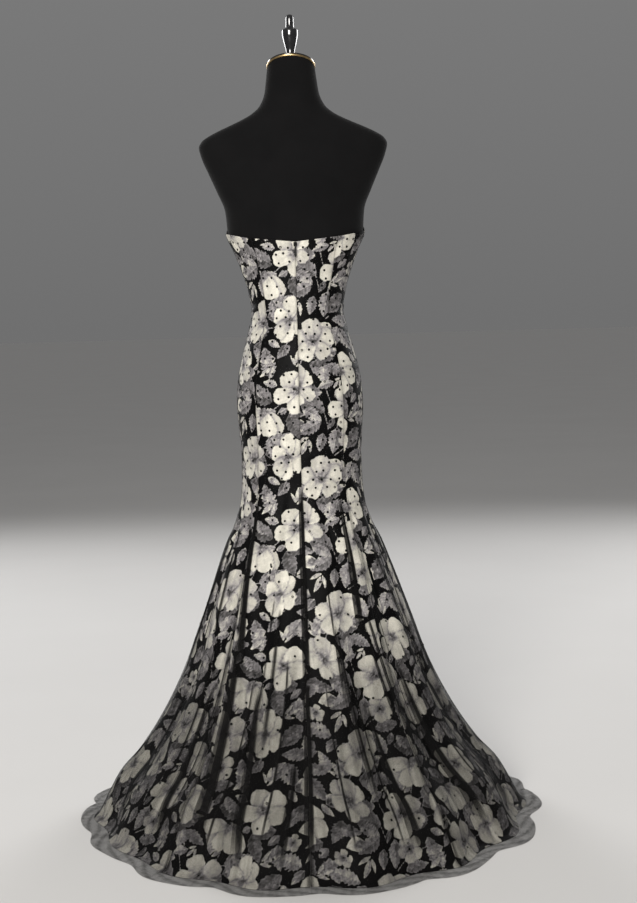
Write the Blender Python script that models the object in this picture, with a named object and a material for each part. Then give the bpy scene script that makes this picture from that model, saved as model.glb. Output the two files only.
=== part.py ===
# Mermaid prom dress on a limbless dress form.
# The gown is two layers of seven gores each: a printed satin and a sheer dotted tulle over it.
# Metres, +Z up, origin on the floor at the centre of the stand's base.
# The front of the gown faces -Y, the wearer's left is +X.
# A turn is an angle in degrees round the body: 0 centre back, 90 left side, 180 centre front.

import math
from collections import namedtuple

import bmesh
import bpy
import numpy as np

# Cloth
SATIN_WALL = 0.0015
TULLE_WALL = 0.0010
LAYER_GAP = 0.0003
SEAM_GAP = 0.0003
TULLE_LIFT = 0.0055
TULLE_LIFT_HEIGHT = 0.30
TULLE_LIFT_SPREAD = 0.20
TULLE_HEM_LIFT = 0.0006
HEM_ZONE = 0.05
TULLE_HEM_STEPS = (0.012, 0.034)
NECK_ROW_HEIGHT = 1.255

# Body sections of the gown, satin's inner face, from the top edge to the floor.
# half_width is to each side of the centre, front and back are the reach from the centre,
# princess is the turn of the back princess seam, full squares the section, fold grows the flutes.
Section = namedtuple("Section", "height half_width front back princess full fold")
SECTIONS = (
    Section(1.370, 0.1560, 0.1080, 0.1010, 39.0, 0.08, 0.00),
    Section(1.300, 0.1523, 0.1180, 0.1020, 39.0, 0.08, 0.00),
    Section(1.260, 0.1358, 0.1140, 0.0980, 40.0, 0.08, 0.00),
    Section(1.216, 0.1193, 0.1020, 0.0915, 42.0, 0.08, 0.00),
    Section(1.172, 0.1061, 0.0935, 0.0870, 43.0, 0.07, 0.00),
    Section(1.127, 0.1002, 0.0910, 0.0870, 43.0, 0.06, 0.00),
    Section(1.083, 0.1086, 0.0950, 0.0940, 43.0, 0.06, 0.00),
    Section(1.039, 0.1211, 0.1010, 0.1040, 43.0, 0.07, 0.00),
    Section(0.972, 0.1353, 0.1060, 0.1160, 43.0, 0.08, 0.00),
    Section(0.915, 0.1388, 0.1070, 0.1210, 43.5, 0.08, 0.00),
    Section(0.859, 0.1351, 0.1050, 0.1190, 44.0, 0.08, 0.00),
    Section(0.803, 0.1320, 0.1030, 0.1140, 45.0, 0.07, 0.00),
    Section(0.747, 0.1333, 0.1030, 0.1120, 46.0, 0.06, 0.00),
    Section(0.700, 0.1376, 0.1060, 0.1150, 46.0, 0.04, 0.02),
    Section(0.656, 0.1500, 0.1140, 0.1260, 45.0, 0.02, 0.06),
    Section(0.587, 0.1758, 0.1360, 0.1530, 44.0, 0.00, 0.16),
    Section(0.519, 0.1990, 0.1580, 0.1830, 43.0, 0.00, 0.27),
    Section(0.427, 0.2300, 0.1890, 0.2280, 42.0, 0.00, 0.42),
    Section(0.334, 0.2620, 0.2180, 0.2760, 41.0, 0.00, 0.58),
    Section(0.241, 0.3070, 0.2480, 0.3270, 40.0, 0.00, 0.73),
    Section(0.148, 0.3700, 0.2880, 0.3880, 39.0, 0.00, 0.86),
    Section(0.101, 0.4140, 0.3110, 0.4220, 38.5, 0.00, 0.92),
    Section(0.054, 0.4420, 0.3320, 0.4560, 38.0, 0.00, 0.96),
    Section(0.007, 0.4680, 0.3500, 0.4910, 38.0, 0.00, 1.00),
    Section(0.000, 0.4790, 0.3580, 0.5010, 38.0, 0.00, 1.00),
)

# Top edge of the bodice: shallow V at the back, sweetheart at the front.
Edge = namedtuple("Edge", "turn height")
NECKLINE = (
    Edge(0.0, 1.2740),
    Edge(40.0, 1.2850),
    Edge(72.0, 1.2965),
    Edge(90.0, 1.3010),
    Edge(112.0, 1.3220),
    Edge(145.0, 1.3450),
    Edge(168.0, 1.3260),
    Edge(180.0, 1.3050),
)

# Cups: a soft rise over each front princess seam.
CUP_TURN = 147.0
CUP_TURN_SPREAD = 21.0
CUP_HEIGHT = 1.285
CUP_HEIGHT_SPREAD = 0.052
CUP_RISE = 0.0085

# Flutes of the skirt: turn of the crest, half of its spread, rise at the hem.
Flute = namedtuple("Flute", "turn spread rise")
FLUTES = (
    Flute(-14.0, 13.0, 0.025),
    Flute(12.0, 12.0, 0.020),
    Flute(36.0, 13.0, 0.017),
    Flute(61.0, 12.0, 0.013),
    Flute(84.0, 12.0, 0.024),
    Flute(108.0, 13.0, 0.021),
    Flute(133.0, 13.0, 0.023),
    Flute(157.0, 12.0, 0.019),
    Flute(181.0, 13.0, 0.022),
    Flute(-155.0, 12.0, 0.020),
    Flute(-132.0, 13.0, 0.024),
    Flute(-109.0, 12.0, 0.020),
    Flute(-87.0, 12.0, 0.022),
    Flute(-63.0, 13.0, 0.025),
    Flute(-38.0, 12.0, 0.024),
)
FLUTE_MEAN = 0.011

# Steps, in degrees and metres, over which the cloth's slope is taken
TURN_STEP = 0.25
HEIGHT_STEP = 0.002

# Rows of the gores below the neck row, from the bust to the floor.
BODICE_ROWS = (1.255, 1.210, 1.165, 1.127, 1.085, 1.040, 0.985, 0.927, 0.870, 0.810, 0.755)
SKIRT_ROWS = (0.705, 0.650, 0.585, 0.510, 0.430, 0.350, 0.270, 0.190, 0.115, 0.050, 0.007, 0.000)
FLARE_HEIGHT = 0.72
BODICE_COLUMNS = 4
SKIRT_COLUMNS = 10

# Dress form, fitted inside the gown up to the bust and free above it.
FORM_BOTTOM = 0.800
FORM_EDGE = 0.006
FORM_CLEAR = 0.0007
FORM_EXTRA_CLEAR = 0.0020
FORM_GRIP_HEIGHT = 1.235
FORM_GRIP_SPREAD = 0.080
FormSection = namedtuple("FormSection", "height half_width front back")
FORM_SECTIONS = (
    FormSection(1.300, 0.1500, 0.1160, 0.1000),
    FormSection(1.348, 0.1540, 0.1050, 0.1015),
    FormSection(1.391, 0.1705, 0.0960, 0.1010),
    FormSection(1.435, 0.1895, 0.0850, 0.0970),
    FormSection(1.465, 0.2020, 0.0760, 0.0910),
    FormSection(1.489, 0.2075, 0.0680, 0.0840),
    FormSection(1.502, 0.2010, 0.0630, 0.0790),
    FormSection(1.513, 0.1850, 0.0590, 0.0750),
    FormSection(1.523, 0.1650, 0.0560, 0.0710),
    FormSection(1.534, 0.1400, 0.0530, 0.0670),
    FormSection(1.546, 0.1130, 0.0510, 0.0640),
    FormSection(1.558, 0.0910, 0.0490, 0.0610),
    FormSection(1.575, 0.0720, 0.0470, 0.0580),
    FormSection(1.600, 0.0605, 0.0450, 0.0550),
    FormSection(1.628, 0.0560, 0.0440, 0.0540),
    FormSection(1.656, 0.0525, 0.0435, 0.0530),
)
FORM_ROWS = (1.300, 1.325, 1.348, 1.370, 1.391, 1.413, 1.435, 1.465, 1.489, 1.502, 1.513, 1.523,
             1.534, 1.546, 1.558, 1.575, 1.600, 1.628)
NECK_TOP = 1.656
NECK_CENTRE_Y = 0.005
NECK_SLANT = 20.0
NECK_DEPTH = 0.92

# Neck cap, its rim and the turned finial. The neck is a little shallower than it is wide.
PIECE_GAP = 0.0003
RIM_RADIUS = 0.0535
RIM_HEIGHT = 0.0040
CAP_RADIUS = 0.0520
CAP_THICK = 0.0035
CAP_ROUND = 0.0016
CAP_TOP_RADIUS = 0.0145
CAP_TOP = 1.6760
CAP_SIDES = 32
Turned = namedtuple("Turned", "height radius")
FINIAL = (
    Turned(0.0000, 0.0128),
    Turned(0.0035, 0.0135),
    Turned(0.0060, 0.0120),
    Turned(0.0095, 0.0094),
    Turned(0.0170, 0.0099),
    Turned(0.0280, 0.0124),
    Turned(0.0420, 0.0157),
    Turned(0.0530, 0.0174),
    Turned(0.0590, 0.0173),
    Turned(0.0625, 0.0158),
    Turned(0.0640, 0.0112),
    Turned(0.0655, 0.0092),
    Turned(0.0750, 0.0086),
    Turned(0.0860, 0.0083),
    Turned(0.0910, 0.0070),
    Turned(0.0945, 0.0034),
)
FINIAL_SIDES = 24

# Stand
BASE_RADIUS = 0.160
BASE_THICK = 0.012
BASE_BEVEL = 0.002
BASE_SIDES = 40
POLE_RADIUS = 0.0125
POLE_SIDES = 20

# Zip at the centre back: slider with a bridge, and the pull that swings on its bar.
SLIDER_DROP = 0.005
SLIDER_WIDTH = 0.0074
SLIDER_LENGTH = 0.0090
SLIDER_THICK = 0.0012
POST_INNER = 0.0018
POST_THICK = 0.0008
POST_LENGTH = 0.0024
BAR_RADIUS = 0.0006
BAR_RISE = 0.0026
POST_OVER_BAR = 0.0009
EYE_RADIUS = 0.0018
EYE_HOLE = 0.0010
EYE_HALF_WIDTH = 0.0014
PULL_THICK = 0.0011
PullRow = namedtuple("PullRow", "drop half_width")
PULL_ROWS = (
    PullRow(0.0008, 0.00130),
    PullRow(0.0034, 0.00130),
    PullRow(0.0080, 0.00155),
    PullRow(0.0140, 0.00190),
    PullRow(0.0200, 0.00220),
    PullRow(0.0235, 0.00215),
    PullRow(0.0255, 0.00165),
    PullRow(0.0266, 0.00090),
)

# Colour, roughness and metallic value of each finish
Finish = namedtuple("Finish", "colour roughness metallic")
FINISHES = {
    "floral_satin": Finish((0.34, 0.33, 0.29), 0.55, 0.0),
    "dotted_tulle": Finish((0.02, 0.02, 0.022), 0.85, 0.0),
    "zip_black": Finish((0.012, 0.012, 0.013), 0.32, 0.0),
    "form_jersey": Finish((0.010, 0.010, 0.011), 0.90, 0.0),
    "cap_black": Finish((0.010, 0.010, 0.010), 0.30, 0.0),
    "rim_gold": Finish((0.55, 0.38, 0.14), 0.28, 1.0),
    "stand_steel": Finish((0.030, 0.030, 0.032), 0.40, 1.0),
}


def clear_scene():
    for item in list(bpy.data.objects):
        bpy.data.objects.remove(item, do_unlink=True)


def finish_material(name):
    material = bpy.data.materials.get(name)
    if material is None:
        finish = FINISHES[name]
        material = bpy.data.materials.new(name)
        material.use_nodes = True
        shader = material.node_tree.nodes["Principled BSDF"]
        shader.inputs["Base Color"].default_value = (*finish.colour, 1.0)
        shader.inputs["Roughness"].default_value = finish.roughness
        shader.inputs["Metallic"].default_value = finish.metallic
    return material


def add_object(name, mesh, finish, location=(0.0, 0.0, 0.0), sharp_angle=40.0):
    # The mesh holds points about the object's own origin, which lies at location.
    mesh.materials.append(finish_material(finish))
    mesh.shade_smooth()
    mesh.set_sharp_from_angle(angle=math.radians(sharp_angle))
    item = bpy.data.objects.new(name, mesh)
    item.location = location
    bpy.context.collection.objects.link(item)
    return item


def mesh_from_faces(name, points, faces):
    mesh = bpy.data.meshes.new(name)
    mesh.from_pydata([tuple(point) for point in points], [], faces)
    work = bmesh.new()
    work.from_mesh(mesh)
    bmesh.ops.recalc_face_normals(work, faces=work.faces)
    work.to_mesh(mesh)
    work.free()
    return mesh


# Smooth curve through the rows of a table, with no overshoot between them.
class Curve:
    def __init__(self, places, values):
        order = np.argsort(places)
        self.places = np.array(places, dtype=float)[order]
        self.values = np.array(values, dtype=float)[order]
        steps = np.diff(self.places)
        slopes = np.diff(self.values) / steps
        tangents = np.empty_like(self.values)
        tangents[0] = slopes[0]
        tangents[-1] = slopes[-1]
        before = slopes[:-1]
        after = slopes[1:]
        same_way = before * after > 0.0
        total = np.where(same_way, before + after, 1.0)
        tangents[1:-1] = np.where(same_way, 2.0 * before * after / total, 0.0)
        self.tangents = tangents

    def at(self, place):
        place = np.clip(np.asarray(place, dtype=float), self.places[0], self.places[-1])
        index = np.clip(np.searchsorted(self.places, place) - 1, 0, len(self.places) - 2)
        start = self.places[index]
        step = self.places[index + 1] - start
        part = (place - start) / step
        first = self.values[index]
        last = self.values[index + 1]
        rise = part * part * (3.0 - 2.0 * part)
        lead = part * (1.0 - part) ** 2 * step * self.tangents[index]
        trail = part * part * (part - 1.0) * step * self.tangents[index + 1]
        return first + (last - first) * rise + lead + trail


def column_curve(table, column, place="height"):
    return Curve([getattr(row, place) for row in table], [getattr(row, column) for row in table])


BODY = {column: column_curve(SECTIONS, column) for column in Section._fields[1:]}
UPPER_FORM = {column: column_curve(FORM_SECTIONS, column) for column in FormSection._fields[1:]}
NECK_EDGE = column_curve(NECKLINE, "height", "turn")


def nearest_turn(turn):
    # Turn between -180 and 180.
    return (np.asarray(turn, dtype=float) + 180.0) % 360.0 - 180.0


def neck_height(turn):
    return NECK_EDGE.at(np.abs(nearest_turn(turn)))


def flute_rise(turn):
    rise = np.zeros_like(np.asarray(turn, dtype=float))
    for flute in FLUTES:
        away = np.abs(nearest_turn(turn - flute.turn)) / flute.spread
        rise = rise + flute.rise * np.where(away < 1.0, np.cos(away * math.pi / 2.0) ** 2, 0.0)
    return rise - FLUTE_MEAN


def cup_rise(turn, height):
    across = (np.abs(nearest_turn(turn)) - CUP_TURN) / CUP_TURN_SPREAD
    along = (height - CUP_HEIGHT) / CUP_HEIGHT_SPREAD
    return CUP_RISE * np.exp(-across ** 2) * np.exp(-along ** 2)


def body_point(turn, height):
    # Point on the satin's inner face.
    turn, height = np.broadcast_arrays(np.asarray(turn, dtype=float), np.asarray(height, dtype=float))
    angle = np.radians(turn)
    sine = np.sin(angle)
    cosine = np.cos(angle)
    half_width = BODY["half_width"].at(height)
    reach = np.where(cosine >= 0.0, BODY["back"].at(height), BODY["front"].at(height))
    x = half_width * sine
    y = reach * cosine * (1.0 + BODY["full"].at(height) * sine ** 2)
    way_x = sine / half_width
    way_y = cosine / reach
    length = np.hypot(way_x, way_y)
    rise = BODY["fold"].at(height) * flute_rise(turn) + cup_rise(turn, height)
    return np.stack([x + rise * way_x / length, y + rise * way_y / length, height], axis=-1)


def body_normal(turn, height):
    # Outward direction, from small steps round the body and along it.
    around = body_point(turn + TURN_STEP, height) - body_point(turn - TURN_STEP, height)
    low = np.maximum(np.asarray(height, dtype=float) - HEIGHT_STEP, 0.0)
    down = body_point(turn, low) - body_point(turn, low + 2.0 * HEIGHT_STEP)
    normal = np.cross(around, down)
    return normal / np.linalg.norm(normal, axis=-1, keepdims=True)


def layer_point(turn, height, offset):
    offset = np.asarray(offset, dtype=float)
    return body_point(turn, height) + body_normal(turn, height) * offset[..., None]


def tulle_lift(height):
    # How far the tulle stands off the satin.
    away = (height - TULLE_LIFT_HEIGHT) / TULLE_LIFT_SPREAD
    lift = TULLE_LIFT * np.exp(-away ** 2)
    near_floor = np.clip(height / HEM_ZONE, 0.0, 1.0)
    return LAYER_GAP + lift * near_floor + TULLE_HEM_LIFT * (1.0 - near_floor)


# Gores between the seams: name, first seam, last seam, and how many plain widths they hold.
Gore = namedtuple("Gore", "name first last widths")
GORES = (
    Gore("back_centre_left", 0, 1, 1),
    Gore("back_side_left", 1, 2, 1),
    Gore("front_side_left", 2, 3, 1),
    Gore("front_centre", 3, 4, 2),
    Gore("front_side_right", 4, 5, 1),
    Gore("back_side_right", 5, 6, 1),
    Gore("back_centre_right", 6, 7, 1),
)


def seam_turn(seam, height):
    princess = BODY["princess"].at(height)
    turns = (0.0, princess, 90.0, 180.0 - princess, 180.0 + princess, 270.0, 360.0 - princess, 360.0)
    return turns[seam]


def columns_at(height, widths):
    if height > FLARE_HEIGHT:
        columns = BODICE_COLUMNS
    else:
        columns = SKIRT_COLUMNS
    return columns * widths


def gore_turns(gore, height, gap, columns):
    # Evenly spaced turns between two seams, drawn in by half a seam gap at each end.
    first = float(seam_turn(gore.first, height))
    last = float(seam_turn(gore.last, height))
    turns = np.linspace(first, last, columns + 1)
    for end, inward in ((0, 1.0), (-1, -1.0)):
        ahead = body_point(turns[end] + TURN_STEP, height)
        behind = body_point(turns[end] - TURN_STEP, height)
        width_of_degree = np.linalg.norm(ahead - behind) / (2.0 * TURN_STEP)
        turns[end] += inward * gap / 2.0 / width_of_degree
    return turns


def gore_rows(gore):
    # Turns and heights of each row, from the top edge to the hem.
    rows = []
    top_turns = gore_turns(gore, NECK_ROW_HEIGHT, SEAM_GAP, BODICE_COLUMNS * gore.widths)
    edge = neck_height(top_turns)
    rows.append((top_turns, edge))
    rows.append((top_turns, (edge + NECK_ROW_HEIGHT) / 2.0))
    for height in BODICE_ROWS + SKIRT_ROWS:
        columns = columns_at(height, gore.widths)
        turns = gore_turns(gore, height, SEAM_GAP, columns)
        rows.append((turns, np.full(columns + 1, height)))
    return rows


def hem_rows(gore, offset):
    # The tulle's last stretch, which lies on the floor beyond the satin's hem.
    turns, heights = gore_rows(gore)[-1]
    edge = body_point(turns, heights)
    away = body_normal(turns, heights)
    away[:, 2] = 0.0
    away /= np.linalg.norm(away, axis=1, keepdims=True)
    rows = []
    for step in TULLE_HEM_STEPS:
        points = edge + away * step
        points[:, 2] = offset
        rows.append(points)
    return rows


def strip_faces(upper, lower):
    # Triangles between two rows of point numbers, which may differ in length.
    faces = []
    first = 0
    second = 0
    while first < len(upper) - 1 or second < len(lower) - 1:
        next_first = (first + 1) / (len(upper) - 1)
        next_second = (second + 1) / (len(lower) - 1)
        if second == len(lower) - 1 or (first < len(upper) - 1 and next_first <= next_second + 1e-9):
            faces.append((upper[first], upper[first + 1], lower[second]))
            first += 1
        else:
            faces.append((upper[first], lower[second + 1], lower[second]))
            second += 1
    return faces


def wall_mesh(name, inner_rows, outer_rows):
    # Closed wall between two sheets that share their rows and columns.
    points = []
    sheets = []
    for rows in (inner_rows, outer_rows):
        numbers = []
        for row in rows:
            numbers.append(list(range(len(points), len(points) + len(row))))
            points.extend(row)
        sheets.append(numbers)
    inner, outer = sheets
    faces = []
    for upper, lower in zip(outer[:-1], outer[1:]):
        faces.extend(strip_faces(upper, lower))
    for upper, lower in zip(inner[:-1], inner[1:]):
        faces.extend(tuple(reversed(face)) for face in strip_faces(upper, lower))
    borders = (
        (inner[0], outer[0]),
        (outer[-1], inner[-1]),
        ([row[0] for row in outer], [row[0] for row in inner]),
        ([row[-1] for row in inner], [row[-1] for row in outer]),
    )
    for near, far in borders:
        for place in range(len(near) - 1):
            faces.append((near[place], near[place + 1], far[place]))
            faces.append((near[place + 1], far[place + 1], far[place]))
    return mesh_from_faces(name, points, faces)


def make_satin(gore):
    inner = []
    outer = []
    for turns, heights in gore_rows(gore):
        inner.append(layer_point(turns, heights, np.zeros_like(turns)))
        outer.append(layer_point(turns, heights, np.full_like(turns, SATIN_WALL)))
    name = gore.name
    return add_object(name, wall_mesh(name, inner, outer), "floral_satin")


def make_tulle(gore):
    inner = []
    outer = []
    for turns, heights in gore_rows(gore):
        offset = SATIN_WALL + tulle_lift(heights)
        inner.append(layer_point(turns, heights, offset))
        outer.append(layer_point(turns, heights, offset + TULLE_WALL))
    inner.extend(hem_rows(gore, 0.0))
    outer.extend(hem_rows(gore, TULLE_WALL))
    name = "tulle_" + gore.name
    return add_object(name, wall_mesh(name, inner, outer), "dotted_tulle")


def ring_stack(name, rings):
    # Closed solid through rings of equal length, listed from the bottom up.
    count = len(rings[0])
    points = [point for ring in rings for point in ring]
    faces = [tuple(range(count))]
    for row in range(len(rings) - 1):
        base = row * count
        for place in range(count):
            after = (place + 1) % count
            corners = (base + place, base + after, base + count + after, base + count + place)
            faces.append((corners[0], corners[1], corners[2]))
            faces.append((corners[0], corners[2], corners[3]))
    last = (len(rings) - 1) * count
    faces.append(tuple(range(last, last + count)))
    return mesh_from_faces(name, points, faces)


def form_turns(height):
    turns = []
    for gore in GORES:
        even = np.linspace(
            float(seam_turn(gore.first, height)),
            float(seam_turn(gore.last, height)),
            BODICE_COLUMNS * gore.widths + 1,
        )
        turns.extend(even[:-1])
    return np.array(turns)


def form_clearance(height):
    away = min(1.0, abs(height - FORM_GRIP_HEIGHT) / FORM_GRIP_SPREAD)
    return FORM_CLEAR + FORM_EXTRA_CLEAR * away ** 2


def fitted_ring(height, extra=0.0):
    turns = form_turns(height)
    inset = np.full_like(turns, -form_clearance(height) - extra)
    ring = layer_point(turns, np.full_like(turns, height), inset)
    ring[:, 2] = height
    return ring


def upper_ring(height):
    turns = form_turns(SECTIONS[0].height)
    angle = np.radians(turns)
    reach = np.where(np.cos(angle) >= 0.0, UPPER_FORM["back"].at(height), UPPER_FORM["front"].at(height))
    x = UPPER_FORM["half_width"].at(height) * np.sin(angle)
    return np.stack([x, reach * np.cos(angle), np.full_like(x, height)], axis=1)


def slanted(points, centre_height):
    # Tips a flat ring so that its back edge is the high one.
    tipped = np.array(points, dtype=float)
    tipped[:, 2] = centre_height + (tipped[:, 1] - NECK_CENTRE_Y) * math.tan(math.radians(NECK_SLANT))
    return tipped


def neck_circle(radius, sides=CAP_SIDES):
    angles = np.arange(sides) * 2.0 * math.pi / sides
    x = radius * np.sin(angles)
    y = NECK_CENTRE_Y + radius * NECK_DEPTH * np.cos(angles)
    return np.stack([x, y, np.zeros(sides)], axis=1)


def make_form():
    bottom = fitted_ring(FORM_BOTTOM, FORM_EDGE)
    rings = [bottom]
    for height in reversed([row for row in BODICE_ROWS if row > FORM_BOTTOM]):
        rings.append(fitted_ring(height))
    for height in FORM_ROWS:
        rings.append(upper_ring(height))
    rings.append(slanted(upper_ring(NECK_TOP), NECK_TOP))
    return add_object("form_torso", ring_stack("form_torso", rings), "form_jersey", sharp_angle=50.0)


def make_neck():
    rim_low = NECK_TOP + PIECE_GAP
    rim_high = rim_low + RIM_HEIGHT
    rim = [slanted(neck_circle(RIM_RADIUS), rim_low), slanted(neck_circle(RIM_RADIUS), rim_high)]
    add_object("neck_rim", ring_stack("neck_rim", rim), "rim_gold")
    cap_low = rim_high + PIECE_GAP
    foot = slanted(neck_circle(CAP_RADIUS), cap_low)
    side = slanted(neck_circle(CAP_RADIUS), cap_low + CAP_THICK - CAP_ROUND)
    edge = slanted(neck_circle(CAP_RADIUS - CAP_ROUND), cap_low + CAP_THICK)
    top = neck_circle(CAP_TOP_RADIUS)
    top[:, 2] = CAP_TOP
    add_object("neck_cap", ring_stack("neck_cap", [foot, side, edge, top]), "cap_black")


def turned_rings(table, sides, centre_y=0.0, floor=0.0):
    angles = np.arange(sides) * 2.0 * math.pi / sides
    rings = []
    for row in table:
        x = row.radius * np.sin(angles)
        y = centre_y + row.radius * np.cos(angles)
        rings.append(np.stack([x, y, np.full(sides, floor + row.height)], axis=1))
    return rings


def make_finial():
    rings = turned_rings(FINIAL, FINIAL_SIDES, NECK_CENTRE_Y, CAP_TOP + PIECE_GAP)
    add_object("finial", ring_stack("finial", rings), "cap_black")


def make_stand():
    base = (
        Turned(0.0, BASE_RADIUS - BASE_BEVEL),
        Turned(BASE_BEVEL, BASE_RADIUS),
        Turned(BASE_THICK - BASE_BEVEL, BASE_RADIUS),
        Turned(BASE_THICK, BASE_RADIUS - BASE_BEVEL),
    )
    rings = turned_rings(base, BASE_SIDES)
    add_object("stand_base", ring_stack("stand_base", rings), "stand_steel", sharp_angle=30.0)
    pole = (
        Turned(BASE_THICK + PIECE_GAP, POLE_RADIUS),
        Turned(FORM_BOTTOM - PIECE_GAP, POLE_RADIUS),
    )
    rings = turned_rings(pole, POLE_SIDES)
    add_object("stand_pole", ring_stack("stand_pole", rings), "stand_steel")


def box_points(low, high):
    (x0, y0, z0), (x1, y1, z1) = low, high
    lower = [(x0, y0, z0), (x1, y0, z0), (x1, y1, z0), (x0, y1, z0)]
    upper = [(x, y, z1) for x, y, z in lower]
    return [lower, upper]


def bar_points(radius, half_length, sides=12):
    # Two rings about the X axis.
    angles = (np.arange(sides) + 0.5) * 2.0 * math.pi / sides
    ends = []
    for x in (-half_length, half_length):
        ends.append([(x, radius * math.cos(angle), radius * math.sin(angle)) for angle in angles])
    return ends


def combine(body, tool_rings, operation):
    # Applies one Boolean to the body and throws the tool away.
    tool = bpy.data.objects.new("tool", ring_stack("tool", tool_rings))
    tool.location = body.location
    bpy.context.collection.objects.link(tool)
    change = body.modifiers.new("change", "BOOLEAN")
    change.operation = operation
    change.solver = "EXACT"
    change.object = tool
    view = bpy.context.evaluated_depsgraph_get()
    result = bpy.data.meshes.new_from_object(body.evaluated_get(view))
    body.modifiers.remove(change)
    body.data = result
    bpy.data.objects.remove(tool, do_unlink=True)


def zip_frame():
    # Where the pull's bar lies, and how far the slider leans with the cloth.
    height = float(neck_height(0.0)) - SLIDER_DROP
    outside = SATIN_WALL + LAYER_GAP + TULLE_WALL
    cloth = layer_point(0.0, height, outside)
    normal = body_normal(0.0, height)
    lean = math.atan2(float(normal[2]), float(normal[1]))
    stand_off = PIECE_GAP + SLIDER_THICK + BAR_RISE
    return tuple(float(cloth[axis] + normal[axis] * stand_off) for axis in range(3)), lean


def make_zip():
    bar, lean = zip_frame()
    back = -BAR_RISE - SLIDER_THICK
    plate = box_points(
        (-SLIDER_WIDTH / 2.0, back, -SLIDER_LENGTH / 2.0),
        (SLIDER_WIDTH / 2.0, -BAR_RISE, SLIDER_LENGTH / 2.0),
    )
    slider = add_object("zip_slider", ring_stack("zip_slider", plate), "zip_black", bar)
    overlap = SLIDER_THICK / 3.0
    for side in (-1.0, 1.0):
        ends = sorted((side * POST_INNER, side * (POST_INNER + POST_THICK)))
        post = box_points(
            (ends[0], -BAR_RISE - overlap, -POST_LENGTH / 2.0),
            (ends[1], POST_OVER_BAR, POST_LENGTH / 2.0),
        )
        combine(slider, post, "UNION")
    combine(slider, bar_points(BAR_RADIUS, POST_INNER + POST_THICK / 2.0), "UNION")
    slider.rotation_euler = (lean, 0.0, 0.0)

    half = PULL_THICK / 2.0
    rings = []
    for row in PULL_ROWS:
        rings.append([
            (-row.half_width, -half, -row.drop),
            (row.half_width, -half, -row.drop),
            (row.half_width, half, -row.drop),
            (-row.half_width, half, -row.drop),
        ])
    pull = add_object("zip_pull", ring_stack("zip_pull", rings), "zip_black", bar)
    combine(pull, bar_points(EYE_RADIUS, EYE_HALF_WIDTH, 16), "UNION")
    combine(pull, bar_points(EYE_HOLE, EYE_HALF_WIDTH * 2.0, 16), "DIFFERENCE")


def build():
    clear_scene()
    for gore in GORES:
        make_satin(gore)
        make_tulle(gore)
    make_form()
    make_neck()
    make_finial()
    make_stand()
    make_zip()


build()
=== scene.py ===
import math

import bmesh
import bpy
import numpy as np
from mathutils import Matrix, Vector


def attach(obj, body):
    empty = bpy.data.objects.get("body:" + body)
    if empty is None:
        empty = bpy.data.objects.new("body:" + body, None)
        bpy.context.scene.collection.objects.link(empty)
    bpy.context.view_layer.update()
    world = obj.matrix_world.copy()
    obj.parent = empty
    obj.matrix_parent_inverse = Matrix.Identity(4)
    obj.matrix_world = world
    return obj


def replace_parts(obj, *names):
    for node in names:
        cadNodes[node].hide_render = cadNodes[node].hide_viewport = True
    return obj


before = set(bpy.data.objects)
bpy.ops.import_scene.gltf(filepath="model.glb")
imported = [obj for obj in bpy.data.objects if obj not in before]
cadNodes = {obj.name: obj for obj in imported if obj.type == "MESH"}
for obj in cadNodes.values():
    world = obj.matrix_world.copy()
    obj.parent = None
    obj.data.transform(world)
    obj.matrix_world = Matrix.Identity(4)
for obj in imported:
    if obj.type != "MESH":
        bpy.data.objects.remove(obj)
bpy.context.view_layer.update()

# The gown's form

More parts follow.
